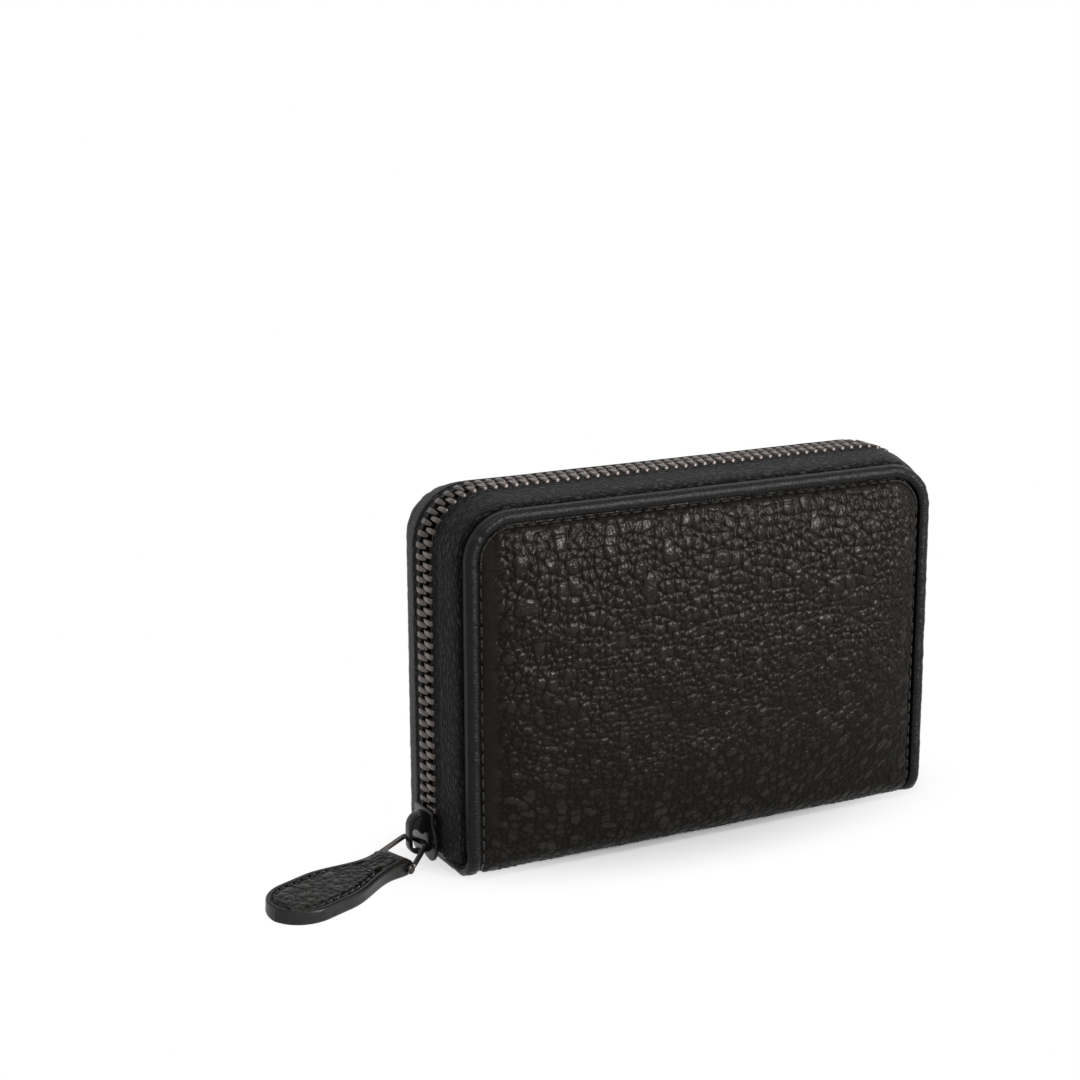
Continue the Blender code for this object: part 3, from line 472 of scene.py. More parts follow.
def laid_grid(name, finish, along, across, place):
    """A grid with a row for each value in along and a column for each value in across.

    place(a, c) takes both as flat arrays and returns an array of points.
    """
    along, across = np.asarray(along), np.asarray(across)
    clear_selection()
    bpy.ops.mesh.primitive_grid_add(size=1, x_subdivisions=len(along) - 1,
                                    y_subdivisions=len(across) - 1)
    obj = bpy.context.object
    obj.name = obj.data.name = name
    flat = np.empty(len(obj.data.vertices) * 3)
    obj.data.vertices.foreach_get("co", flat)
    flat = flat.reshape(-1, 3)
    i = np.rint((flat[:, 0] + 0.5) * (len(along) - 1)).astype(int)
    j = np.rint((flat[:, 1] + 0.5) * (len(across) - 1)).astype(int)
    points = place(along[i], across[j])
    obj.data.vertices.foreach_set("co", np.asarray(points, float).ravel())
    loops = np.empty(len(obj.data.loops), int)
    obj.data.loops.foreach_get("vertex_index", loops)
    chart = np.stack([along[i[loops]], across[j[loops]]], 1) / MM
    layer = obj.data.uv_layers[0]
    layer.name = "surface_mm"
    layer.data.foreach_set("uv", chart.ravel())
    obj.data.materials.append(finish)
    obj.data.update()
    return obj


def evenly(low, high, spacing):
    return np.linspace(low, high, max(2, round((high - low) / spacing) + 1))


def distances(line):
    """How far each point of a line is from its start, walked along it."""
    return np.concatenate([[0], np.cumsum(np.hypot(*np.diff(line, axis=0).T))])


def number_in(values, value):
    """Which of the rising values each value is."""
    return np.searchsorted(values, value - SAME)


def edit(obj):
    """Open a piece for editing, with all of it selected."""
    pick(obj)
    bpy.ops.object.mode_set(mode="EDIT")
    bpy.ops.mesh.select_all(action="SELECT")


def turn_outwards(obj, inside=False):
    edit(obj)
    bpy.ops.mesh.normals_make_consistent(inside=inside)
    bpy.ops.object.mode_set(mode="OBJECT")
    return obj


def close_up(obj):
    """Weld the seam, close the ends and turn every face outwards."""
    edit(obj)
    bpy.ops.mesh.remove_doubles(threshold=WELD)
    bpy.ops.mesh.fill_holes(sides=0)
    return turn_outwards(obj)


def smooth(obj, degrees=180):
    """Shade a piece smooth, but for edges that are sharper than the given angle."""
    pick(obj)
    if degrees < 180:
        bpy.ops.object.shade_smooth_by_angle(angle=math.radians(degrees))
    else:
        bpy.ops.object.shade_smooth()
    return obj


def modified(obj, kind, **settings):
    """Put a modifier on a piece, set it and apply it."""
    modifier = obj.modifiers.new(kind.lower(), kind)
    for key, value in settings.items():
        setattr(modifier, key, value)
    pick(obj)
    bpy.ops.object.modifier_apply(modifier=modifier.name)
    return obj


def cylinder(radius, length, sides, turn, place=(0, 0, 0)):
    """A cylinder along Z, then turned and put in its place."""
    clear_selection()
    bpy.ops.mesh.primitive_cylinder_add(vertices=sides, radius=radius, depth=length,
                                        location=place, rotation=turn)
    bpy.ops.object.transform_apply()
    return bpy.context.object


def join(pieces, name):
    """Join pieces into the first one and name it."""
    pick(pieces[0])
    for piece in pieces:
        piece.select_set(True)
    if len(pieces) > 1:
        bpy.ops.object.join()
    pieces[0].name = pieces[0].data.name = name
    return pieces[0]


def settle(obj, body, slot, *replaced):
    """Say which body a piece rides on, and the nodes that it stands for; the slot is not used."""
    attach(obj, body)
    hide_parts(*replaced)
    print(obj.name, len(obj.data.polygons), "faces on", body)


def settle_bent(obj, slot, span, *replaced):
    """For a piece across the bend between the rear half and the front cover: bake it in place and hide
    the nodes that it stands for. The slot and the span are not used.
    """
    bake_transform(obj)
    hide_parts(*replaced)
    print(obj.name, len(obj.data.polygons), "faces, bends with the spine")


# %% [markdown]
# The covers share one outline: 110 by 75 mm with 10 mm corners on top. Below them the leather
# turns round the spine's edge in a quarter circle of 5.5 mm. A place on the leather is given by x,
# by its rise along the leather from that bend, and by its depth under the rim's outer plane.

# %% Shape of the covers
WIDTH, HEIGHT, CORNER = 110 * MM, 75 * MM, 10 * MM
HALF_WIDTH, RIM_Y = WIDTH / 2, 14.5 * MM
BEND = 5.5 * MM
FLAT_HALF = RIM_Y - BEND
BEND_LENGTH = BEND * math.pi / 2
REAR, FRONT = 1, -1
COVERS = (("front", FRONT, "front_cover"), ("rear", REAR, "root"))
LEATHER_FOLD, ROLL_FOLD = 1.56 * MM, 0.90 * MM


def fold_span(reach):
    """Start and end of the bend at the front edge of the spine, reach to either side of it."""
    return {"start": (0, reach - FLAT_HALF, BEND - reach),
            "end": (0, -reach - FLAT_HALF, BEND + reach)}


def wrap(x, rise, depth, side):
    """The place of a point on the wrapped leather, as an array of x, y and z."""
    turn = np.clip(-rise / BEND, 0, math.pi / 2)
    reach = BEND - depth
    y = FLAT_HALF + reach * np.cos(turn) + np.minimum(rise + BEND_LENGTH, 0)
    z = BEND - reach * np.sin(turn) + np.maximum(rise, 0)
    return np.stack([x, side * y, z], 1)


def rim_inset(x, z):
    """How far a place lies inside the rounded outline of a cover."""
    from_side, from_top = HALF_WIDTH - np.abs(x), HEIGHT - z
    over_side, over_top = CORNER - from_side, CORNER - from_top
    round_corner = CORNER - np.hypot(over_side, over_top)
    straight = np.minimum(from_side, from_top)
    return np.where((over_side > 0) & (over_top > 0), round_corner, straight)


def half_width_at(z, inset):
    """Half the outline's width at a height, for the outline set in by the inset."""
    radius = CORNER - inset
    over = np.clip(z - (HEIGHT - CORNER), 0, radius)
    return HALF_WIDTH - CORNER + np.sqrt(np.maximum(radius ** 2 - over ** 2, 0))


def step(low, high, value):
    """A smooth step from 0 at low to 1 at high."""
    t = np.clip((value - low) / (high - low), 0, 1)
    return t * t * (3 - 2 * t)


# %% [markdown]
# Leather grain is made of pits and of creases that run from each pit to the pits around it, so
# that they meet in little stars. One pit is scattered in each square of a grid. Every place
# looks for its nearest pit and for the creases that leave it, and how near the closest crease
# is gives the height. Stretching the plane first makes long creases out of the same net.

# %% Grain of the leather
LARGE_PEBBLE, SMALL_PEBBLE, CREASE_PITCH = 2.20 * MM, 1.55 * MM, 1.10 * MM
NEIGHBOURS = [(dx, dy) for dx in range(-2, 3) for dy in range(-2, 3)]
TABLE_SIZE = 512
SHORT_CREASE, LONG_CREASE = 1.30, 1.85
PIT_SCATTER, PIT_WIDE, CREASE_WIDE, CREASE_WANDER = 0.74, 0.17, 0.20, 0.15


def scattered(seed, channels):
    return np.random.default_rng(seed).random((TABLE_SIZE, TABLE_SIZE, channels))


def soft_noise(x, y, size, seed):
    """Smooth noise from -1 to 1 with one random value in each square of the given size."""
    table = scattered(seed, 1)[:, :, 0] * 2 - 1
    u, v = x / size, y / size
    i, j = np.floor(u).astype(int), np.floor(v).astype(int)
    s, t = step(0, 1, u - i), step(0, 1, v - j)
    corners = [table[(i + a) % TABLE_SIZE, (j + b) % TABLE_SIZE] for a in (0, 1) for b in (0, 1)]
    low = corners[0] * (1 - t) + corners[1] * t
    high = corners[2] * (1 - t) + corners[3] * t
    return low * (1 - s) + high * s


def pits_and_creases(x, y, size, seed):
    """Distance to the nearest pit, then distances to its creases and how deep each one is."""
    table = scattered(seed, 2)
    u, v = x / size, y / size
    i, j = np.floor(u).astype(int), np.floor(v).astype(int)
    points = []
    for dx, dy in NEIGHBOURS:
        spot = 0.5 + PIT_SCATTER * (table[(i + dx) % TABLE_SIZE, (j + dy) % TABLE_SIZE] - 0.5)
        points.append(np.stack([i + dx + spot[:, 0] - u, j + dy + spot[:, 1] - v], 1))
    points = np.stack(points, 1)
    nearest = np.argmin((points ** 2).sum(2), axis=1)
    pit = points[np.arange(len(u)), nearest][:, None, :]
    ways = points - pit
    squares = np.maximum((ways ** 2).sum(2), 1e-9)
    share = np.clip(-(pit * ways).sum(2) / squares, 0, 1)
    away = np.hypot(*np.moveaxis(pit + share[:, :, None] * ways, 2, 0)) * size
    lengths = np.sqrt(squares)
    deep = (1 - step(SHORT_CREASE, LONG_CREASE, lengths)) * (lengths > 1e-3)
    return np.hypot(*pit[:, 0].T) * size, away, deep


def lumps(x, y, size, seed, narrow=0.20 * MM):
    """Height from 0 to 1 of domed lumps between creases, and how clear of a crease it is."""
    x = x + CREASE_WANDER * size * soft_noise(x, y, size * 0.8, seed + 1)
    y = y + CREASE_WANDER * size * soft_noise(x, y, size * 0.8, seed + 2)
    from_pit, away, deep = pits_and_creases(x, y, size, seed)
    thin = (deep * np.exp(-(away / narrow) ** 2)).max(1)
    wide = (deep * np.exp(-(away / (CREASE_WIDE * size)) ** 2)).max(1)
    pit = np.exp(-(from_pit / (PIT_WIDE * size)) ** 2)
    height = 1 - 0.50 * wide - 0.32 * thin - 0.40 * pit
    # The second value is how clear of a crease or pit a place is; the finish paints shade where it is
    # low.
    return height, np.clip(1 - 0.85 * thin - 0.6 * pit - 0.15 * wide, 0, 1)


print("a lump is about", LARGE_PEBBLE / MM, "mm wide near the top and", CREASE_PITCH / MM,
      "mm below")

# %% [markdown]
# On the covers the grain changes from place to place, as it does over a hide. Large pebbles
# fill the upper part. Further down they shrink and lie flat in creases that sag in the middle
# and rise to both sides. Next to the left groove the leather is pulled smooth with fine level
# wrinkles, and near the upper corner at the far end it is smooth with wrinkles fanning out.

# %% Relief of a cover
LARGE_HEIGHT, SMALL_HEIGHT, CREASE_HEIGHT = 0.46 * MM, 0.30 * MM, 0.22 * MM
CREASE_STRETCH, CREASE_SLOPE, CREASE_BOW = 1.6, 0.16, 5.4
LARGE_FROM, LARGE_TO = 36 * MM, 54 * MM
SMALL_FROM, SMALL_TO = 14 * MM, 36 * MM
BARE_FROM, BARE_TO = 7 * MM, 15 * MM
STRIP_FROM, STRIP_TO, STRIP_RISE = 4.8 * MM, 8.0 * MM, 8 * MM
HEM_FROM, HEM_TO = 3.2 * MM, 4.0 * MM
FAN_X, FAN_GIRTH, FAN_RADIUS = 75 * MM, 40 * MM, 60 * MM
WRINKLE_HEIGHT, SWELL_HEIGHT, DENT_HEIGHT = 0.045 * MM, 0.12 * MM, 0.05 * MM


def cover_relief(x, girth, inset, smooth_corner):
    """Height of the grain and its value for the finish; girth is measured along the leather."""
    patch = 5 * MM * soft_noise(x, girth, 9 * MM, 11)
    large = step(LARGE_FROM, LARGE_TO, girth + patch)
    small = step(SMALL_FROM, SMALL_TO, girth + patch) * (1 - large)
    crease = 1 - large - small
    big_height, big_clear = lumps(x, girth, LARGE_PEBBLE, 21)
    mid_height, mid_clear = lumps(x, girth, SMALL_PEBBLE, 31)
    level = girth - CREASE_SLOPE * x - CREASE_BOW * x * x
    low_height, low_clear = lumps(x / CREASE_STRETCH, level, CREASE_PITCH, 41)
    height = large * LARGE_HEIGHT * big_height + small * SMALL_HEIGHT * mid_height
    height += crease * CREASE_HEIGHT * low_height + 0.25 * large * SMALL_HEIGHT * mid_height
    height += 0.35 * small * CREASE_HEIGHT * low_height
    clear = large * (0.85 * big_clear + 0.15 * mid_clear) + small * mid_clear + crease * low_clear
    from_corner = np.hypot(x - HALF_WIDTH, girth - (HEIGHT - BEND))
    bare = 1 - step(BARE_FROM, BARE_TO, from_corner) if smooth_corner else 0 * x
    strip = (1 - step(STRIP_FROM, STRIP_TO, HALF_WIDTH + x)) * step(0, STRIP_RISE, girth)
    hem = 1 - step(HEM_FROM, HEM_TO, inset)
    calm = np.clip(np.maximum(np.maximum(bare, 0.85 * strip), hem), 0, 1)
    round_fan = np.arctan2(girth - FAN_GIRTH, FAN_X - x) * FAN_RADIUS
    fan = soft_noise(round_fan, from_corner, 0.8 * MM, 51)
    lines = soft_noise(x / 7, girth, 0.55 * MM, 52)
    height = height * (1 - 0.8 * calm) + WRINKLE_HEIGHT * (bare * fan + strip * lines)
    height += SWELL_HEIGHT * soft_noise(x, girth, 5 * MM, 53)
    height += DENT_HEIGHT * soft_noise(x, girth, 2.4 * MM, 54) * (1 - calm)
    return height, clear * (1 - calm) + 0.6 * calm


# %% [markdown]
# The front leather runs from the top of the front cover down, round the spine's edge and a
# little under it, so one piece of leather spans the fold where the wallet opens. It comes up out
# of the stitched groove and swells over the foam. The rear leather does the same on its side and
# also covers the spine. Both start as grids, with points 0.3 mm apart in front and 0.37 mm behind.

# %% Outer leather of both covers
PANEL_INSET, GROOVE = 3.0 * MM, 1.9 * MM
TUCK, LEATHER = 0.95 * MM, 0.8 * MM
CROWN, CROWN_RUN, CROWN_FADE, CROWN_POWER = 1.8 * MM, 18 * MM, 15 * MM, 2.8
LEATHER_EDGE = 1.0 * MM
GRAIN_STEP, FLESH_STEP = 0.305 * MM, 3 * MM
PRESSED_FLAT, PRESSED_FROM, PRESSED_TO, PRESSED_GRAIN = 0.24 * MM, 0.60, 0.86, 0.65


def panel_depth(inset, rise):
    """Depth of the leather's face: tucked under the rim, out of the groove, then swelling."""
    out = np.clip((inset - PANEL_INSET) / GROOVE, 0, 1)
    swell = 1 - (1 - np.clip((inset - PANEL_INSET) / CROWN_RUN, 0, 1)) ** CROWN_POWER
    fade = np.clip(rise / CROWN_FADE, 0, 1)
    swell = swell * np.sin(fade * math.pi / 2)
    return TUCK * (1 - np.sin(out * math.pi / 2)) - CROWN * swell


def carry_crease_shade_and_gloss(obj, values):
    """Write the value that the leather's finish reads for its gloss and its painted crease shade."""
    layer = obj.data.attributes.new("grain", "FLOAT", "POINT")
    layer.data.foreach_set("value", values.astype(np.float32))


def faces_away(obj, side):
    """Turn the sheet's faces to the outside of its cover."""
    middle = [p for p in obj.data.polygons if p.center.z > 0.5 * HEIGHT]
    if sum(p.normal.y * p.area for p in middle) * side < 0:
        edit(obj)
        bpy.ops.mesh.flip_normals()
        bpy.ops.object.mode_set(mode="OBJECT")
    return obj


def leather_face(name, side, lowest, spacing, inner=False):
    """The grained face of a cover's leather, or its plain flesh side if inner."""
    values = {}

    def place(share, rise):
        z = np.maximum(rise, 0) + BEND
        x = share * half_width_at(z, LEATHER_EDGE)
        inset = np.where(rise > 0, rim_inset(x, z), HALF_WIDTH - np.abs(x))
        depth = panel_depth(inset, rise)
        if inner:
            return wrap(x, rise, depth + LEATHER, side)
        height, clear = cover_relief(-side * x, rise, inset, side == FRONT)
        underside = step(PRESSED_FROM, PRESSED_TO, -rise / BEND_LENGTH)
        height = height * (1 - PRESSED_GRAIN * underside) - PRESSED_FLAT * underside
        values["grain"] = clear
        return wrap(x, rise, depth - height, side)

    rows = evenly(lowest, HEIGHT - BEND - LEATHER_EDGE, spacing)
    obj = laid_grid(name, PEBBLED, evenly(-1, 1, spacing / HALF_WIDTH), rows, place)
    carry_crease_shade_and_gloss(obj, values.get("grain", np.full(len(obj.data.vertices), 0.5)))
    return faces_away(turn_outwards(obj, inside=inner), -side if inner else side)


def cover_leather(name, side, lowest, spacing):
    """A cover's leather, with its grained face and its flesh side."""
    faces = [leather_face(name, side, lowest, spacing),
             leather_face(name + "_flesh", side, lowest, FLESH_STEP, inner=True)]
    return smooth(join(faces, name))


front_lowest, rear_lowest = -BEND_LENGTH, -BEND_LENGTH - 2 * FLAT_HALF
front_leather = cover_leather("front_cover_and_fold_leather", FRONT, front_lowest, GRAIN_STEP)
rear_leather = cover_leather("rear_cover_and_spine_leather", REAR, rear_lowest, GRAIN_STEP * 1.2)
settle_bent(front_leather, "pebbled_leather", fold_span(LEATHER_FOLD), "front_cover_leather",
            "spine_fold_leather")
settle(rear_leather, "root", "pebbled_leather", "rear_cover_leather")

# %% [markdown]
# Under the leather of each cover lies a thin foam, cut thin at its border. It is two sheets with
# a common border: one flat on the board and one that follows the leather from inside. Joined
# and welded they make a closed cushion.

# %% Foam of both covers
FOAM_INSET, FOAM_BACK, FOAM_SKIVE = 6.3 * MM, 1.95 * MM, 3.0 * MM
FOAM_FOOT, FOAM_STEP, FOAM_FILL, FOAM_GAP = 4.2 * MM, 1.5 * MM, 0.3, 0.08 * MM


def foam_sheet(name, side, crowned):
    """One face of the foam; both faces share their border."""
    def place(share, rise):
        x = share * half_width_at(rise + BEND, FOAM_INSET)
        inset = rim_inset(x, rise + BEND)
        from_border = np.minimum(inset - FOAM_INSET, rise - FOAM_FOOT)
        thick = (FOAM_BACK - LEATHER - FOAM_GAP - panel_depth(inset, rise)) \
            * np.sqrt(np.clip(from_border / FOAM_SKIVE, 0, 1))
        return wrap(x, rise, FOAM_BACK - crowned * np.maximum(thick, 0), side)

    rows = evenly(FOAM_FOOT, HEIGHT - BEND - FOAM_INSET, FOAM_STEP)
    return laid_grid(name, FOAM, evenly(-1, 1, FOAM_STEP / HALF_WIDTH), rows, place)


for word, side, body in COVERS:
    faces = [foam_sheet(word + "_foam_face", side, crowned) for crowned in (1, 0)]
    foam = join(faces, word + "_cover_foam")
    close_up(foam)
    settle(smooth(foam, 50), body, "foam", word + "_cover_padding")

# %% [markdown]
# A place along the rim is given by the distance walked from its left foot: up the left side,
# round the corner, along the top and down again. The same walk lays the rolled edges, the zip
# tapes and the rows of stitches. Below the covers it either follows the bend or goes straight.

# %% Walk along the rim


class RimWalk:
    """Places along the rim of a cover, from the left foot to the right foot."""

    def __init__(self, side, foot, follows_bend):
        self.side, self.foot, self.follows_bend = side, foot, follows_bend
        self.leg = HEIGHT - CORNER - BEND - foot
        self.turn = CORNER * math.pi / 2
        self.top = WIDTH - 2 * CORNER
        self.length = 2 * (self.leg + self.turn) + self.top

    def place(self, walked, inset, depth):
        """Points at a distance walked, an inset from the rim and a depth under its plane."""
        right_half = walked > self.length / 2
        s = np.where(right_half, self.length - walked, walked)
        angle = np.clip((s - self.leg) / CORNER, 0, math.pi / 2)
        radius = CORNER - inset
        x = -HALF_WIDTH + CORNER - radius * np.cos(angle)
        x = x + np.maximum(s - self.leg - self.turn, 0)
        rise = self.foot + np.minimum(s, self.leg) + radius * np.sin(angle)
        x = np.where(right_half, -x, x)
        if self.follows_bend:
            return wrap(x, rise, depth + 0 * x, self.side)
        return np.stack([x, self.side * (RIM_Y - depth) + 0 * x, BEND + rise], 1)

    def rise(self, walked):
        s = np.minimum(walked, self.length - walked)
        return self.foot + np.minimum(s, self.leg)


front_walk = RimWalk(FRONT, front_lowest, True)
rear_walk = RimWalk(REAR, rear_lowest, True)
print("the front rim is", round(front_walk.length / MM), "mm long")

# %% [markdown]
# The rolled edge is a strip of smooth leather folded round the raw edges of the cover. Its
# section is a closed loop: an outer leg that swells into a bead beside the groove, the side of
# the rim, and an inner leg beside the zip. Small wrinkles run across the roll and grow where
# it turns a corner.

# %% Rolled edges
ROLL_STEP = 0.55 * MM
COVER_ROLL, SPINE_ROLL = 3.75 * MM, 2.7 * MM
# All three are (inset, depth) in millimetres. The depth of the back is counted the other way,
# from the far side of the roll.
ROLL_OUTER = [(2.70, 0.75), (2.74, 0.48), (2.66, 0.20), (2.46, -0.04), (2.18, -0.20),
              (1.84, -0.30), (1.46, -0.34), (1.08, -0.30), (0.74, -0.18), (0.44, 0.02),
              (0.20, 0.30), (0.05, 0.66), (0.00, 1.10)]
ROLL_BACK = [(0.00, 2.05), (0.10, 1.62), (0.42, 1.20), (0.86, 0.74), (1.22, 0.22), (1.60, 0.0),
             (2.30, 0.0), (2.52, 0.12), (2.52, 0.62), (1.70, 0.66), (0.95, 1.35), (0.80, 1.60)]
ROLL_INNER = [(0.80, 0.96), (2.56, 0.90), (2.70, 0.75)]
WRINKLE = 0.15 * MM


def rolled_edge(name, walk):
    """Sweep the folded strip along the walk; it gets thinner where it crosses the spine."""
    loop = np.array([(n, d, 0) for n, d in ROLL_OUTER] + [(n, -d, 1) for n, d in ROLL_BACK]
                    + [(n, d, 0) for n, d in ROLL_INNER])
    across = distances(loop[:, :2]) * MM

    def place(walked, width):
        k = number_in(across, width)
        inset, depth, from_back = loop[k, 0] * MM, loop[k, 1] * MM, loop[k, 2]
        rise = walk.rise(walked)
        roll = SPINE_ROLL + (COVER_ROLL - SPINE_ROLL) * step(-1 * MM, 2 * MM, rise)
        depth = depth + from_back * roll
        depth = np.where(depth < 0, depth * step(-BEND_LENGTH, -0.3 * BEND_LENGTH, rise), depth)
        skin = (k > 0) & (k < len(ROLL_OUTER))
        at_corner = np.abs(np.minimum(walked, walk.length - walked) - walk.leg - walk.turn / 2)
        strength = 0.7 + 0.9 * (1 - step(3 * MM, 9 * MM, at_corner))
        lines = soft_noise(walked, width / 5, 0.75 * MM, 61)
        lines += 0.6 * soft_noise(walked, width, 2.2 * MM, 62)
        depth = depth - skin * WRINKLE * strength * lines
        return walk.place(walked, inset, depth)

    return smooth(close_up(laid_grid(name, SMOOTH, evenly(0, walk.length, ROLL_STEP), across,
                                     place)), 60)


front_roll = rolled_edge("front_rolled_edge", front_walk)
rear_roll = rolled_edge("rear_rolled_edge", rear_walk)
settle_bent(front_roll, "smooth_leather", fold_span(ROLL_FOLD), "front_edge_binding",
            "fold_binding_left", "fold_binding_right")
settle(rear_roll, "root", "smooth_leather", "rear_edge_binding", "spine_end_binding_left",
       "spine_end_binding_right")

# %% [markdown]
# Each zip tape comes out between the rolled edge and the lining, swells outwards and carries
# the teeth on a corded edge. Before the teeth it has a soft ridge and a shallow dip. The section
# is drawn as a middle line and thickened to both sides, and it ends in the round cord.

# %% Zip tapes
TAPE_HALF, TAPE_STEP = 0.22, 0.8 * MM
TAPE_SAG, SAG_SIZE = 0.05 * MM, 5 * MM
TAPE_FOOT = 3.4 * MM - BEND
TAPE_LINE = [(6.0, 4.22), (3.0, 4.22), (1.9, 4.22), (1.40, 4.10), (1.00, 3.70), (0.60, 3.26),
             (0.20, 2.98), (-0.12, 2.96), (-0.40, 3.20), (-0.66, 3.70), (-0.88, 4.35),
             (-1.08, 5.10), (-1.26, 5.85), (-1.42, 6.60), (-1.58, 7.30), (-1.74, 7.85),
             (-1.82, 8.20), (-1.70, 8.55), (-1.50, 8.90), (-1.44, 9.40), (-1.50, 9.95),
             (-1.62, 10.45), (-1.74, 10.95)]
CORD_RADIUS, CORD_DEPTH, CORD_PROUD = 0.50, 11.80, 1.80


def tape_loop():
    """The closed section of a tape with its cord, as (inset, depth) in millimetres."""
    line = np.array(TAPE_LINE)
    ways = np.gradient(line, axis=0)
    normals = np.stack([-ways[:, 1], ways[:, 0]], 1) / np.hypot(*ways.T)[:, None]
    outside, inside = line + normals * TAPE_HALF, line - normals * TAPE_HALF
    turns = np.linspace(-0.85 * math.pi, 0.85 * math.pi, 9)
    cord = np.stack([CORD_RADIUS * np.sin(turns) - CORD_PROUD,
                     CORD_RADIUS * np.cos(turns) + CORD_DEPTH], 1)
    return np.concatenate([outside, cord, inside[::-1], outside[:1]]) * MM


def zip_tape(name, side):
    walk = RimWalk(side, TAPE_FOOT, False)
    loop = tape_loop()
    across = distances(loop)

    def place(walked, width):
        k = number_in(across, width)
        sag = TAPE_SAG * soft_noise(walked, width, SAG_SIZE, 71 + side)
        return walk.place(walked, loop[k, 0] + sag, loop[k, 1])

    return smooth(close_up(laid_grid(name, TAPE, evenly(0, walk.length, TAPE_STEP), across,
                                     place)), 60)


settle(zip_tape("front_woven_tape", FRONT), "front_cover", "zip_tape", "front_zip_tape")
settle(zip_tape("rear_woven_tape", REAR), "root", "zip_tape", "rear_zip_tape")

# %% [markdown]
# A metal tooth is a small block with a narrower head, bent round the cord at its root. One
# tooth is modelled: a cube for the root, its inner face pulled out twice for the neck and the
# head, and all edges bevelled. It is then copied along the chain, once for each row, half a
# pitch apart, and it fans out round the corners.

# %% One tooth
TOOTH_DEEP, TOOTH_ROOT_WIDE = 1.70 * MM, 1.06 * MM
ROOT_FROM, ROOT_TO = 0.85 * MM, 3.20 * MM
# How far the neck and the head are pulled out, how they narrow, and how far the head leans.
NECK_PULL = (0.70 * MM, (0.97, 1, 0.86), 0)
HEAD_PULL = (0.62 * MM, (0.80, 1, 0.92), 0.12 * MM)


def select_faces(obj, test):
    """Select the faces whose centre and normal pass the test."""
    bpy.ops.object.mode_set(mode="OBJECT")
    for polygon in obj.data.polygons:
        polygon.select = bool(test(polygon.center, polygon.normal))
    bpy.ops.object.mode_set(mode="EDIT")
    bpy.ops.mesh.select_mode(type="FACE")


def one_tooth():
    clear_selection()
    bpy.ops.mesh.primitive_cube_add(size=1, location=(0, (ROOT_FROM + ROOT_TO) / 2, 0),
                                    scale=(TOOTH_DEEP, ROOT_TO - ROOT_FROM, TOOTH_ROOT_WIDE))
    bpy.ops.object.transform_apply()
    obj = bpy.context.object
    obj.name = "one_tooth"
    edit(obj)
    select_faces(obj, lambda centre, normal: normal.y < -0.9)
    reached = ROOT_FROM
    for reach, narrowed, lean in (NECK_PULL, HEAD_PULL):
        reached -= reach
        bpy.ops.mesh.extrude_region_move(TRANSFORM_OT_translate={"value": (0, -reach, 0)})
        bpy.ops.transform.resize(value=narrowed, center_override=(lean, reached, 0))
    bpy.ops.mesh.select_all(action="SELECT")
    bpy.ops.mesh.bevel(offset=0.10 * MM, segments=1, affect="EDGES")
    bpy.ops.object.mode_set(mode="OBJECT")
    obj.data.materials.append(ANTIQUE)
    return smooth(obj, 50)


# %% The two rows of teeth
CHAIN_PROUD = 1.8 * MM
TOOTH_PITCH = 2.3 * MM
FIRST_TOOTH = 6.2 * MM


def chain_places(offset, spacing):
    """Where each tooth stands, and how far the chain has turned there."""
    foot, radius = FIRST_TOOTH + offset, CORNER + CHAIN_PROUD
    leg, bend, across = HEIGHT - CORNER - foot, radius * math.pi / 2, WIDTH - 2 * CORNER
    total = 2 * bend + across + leg + HEIGHT - CORNER - FIRST_TOOTH
    places = []
    for k in range(int(total / spacing) + 1):
        s = k * spacing
        angle = min(max((s - leg) / radius, 0), math.pi / 2)
        second = min(max((s - leg - bend - across) / radius, 0), math.pi / 2)
        level = min(max(s - leg - bend, 0), across)
        down = max(s - leg - 2 * bend - across, 0)
        x = -HALF_WIDTH + CORNER + level
        x += -radius * math.cos(angle) if second == 0 else radius * math.sin(second)
        z = HEIGHT - CORNER + radius * (math.sin(angle) if second == 0 else math.cos(second))
        z += min(s - leg, 0) - down
        places.append((Vector((x, 0, z)), angle + second))
    return places


def copies(model, matrices, name):
    """Copy a model to each matrix and join the copies into one piece."""
    made = []
    for matrix in matrices:
        copy = model.copy()
        copy.data = model.data.copy()
        copy.data.transform(matrix)
        bpy.context.collection.objects.link(copy)
        made.append(copy)
    return join(made, name)


tooth = one_tooth()
for name, side, offset, body, node in (("rear_metal_teeth", REAR, 0, "root", "rear_zip_teeth"),
                                       ("front_metal_teeth", FRONT, TOOTH_PITCH / 2, "front_cover",
                                        "front_zip_teeth")):
    mirror = Matrix.Diagonal((1, side, 1, 1))
    places = [Matrix.Translation(spot) @ Matrix.Rotation(turned, 4, "Y") @ mirror
              for spot, turned in chain_places(offset, TOOTH_PITCH)]
    row = turn_outwards(copies(tooth, places, name))
    settle(row, body, "antique_metal", node)
bpy.data.objects.remove(tooth)

# %% [markdown]
# Small blocks of the same metal stop the slider: one clamped on each tape below the first
# teeth, and a box at the other end that holds both tapes together. They are cubes with their
# edges bevelled round.

# %% Zip stops


def rounded_block(name, low, high, radius, finish, segments=3):
    """A block between two corners, with rounded edges."""
    clear_selection()
    low, high = Vector(low), Vector(high)
    bpy.ops.mesh.primitive_cube_add(size=1, location=(low + high) / 2, scale=high - low)
    bpy.ops.object.transform_apply()
    obj = bpy.context.object
    obj.name = obj.data.name = name
    edit(obj)
    bpy.ops.mesh.bevel(offset=radius, segments=segments, affect="EDGES")
    bpy.ops.object.mode_set(mode="OBJECT")
    obj.data.materials.append(finish)
    return smooth(obj, 50)


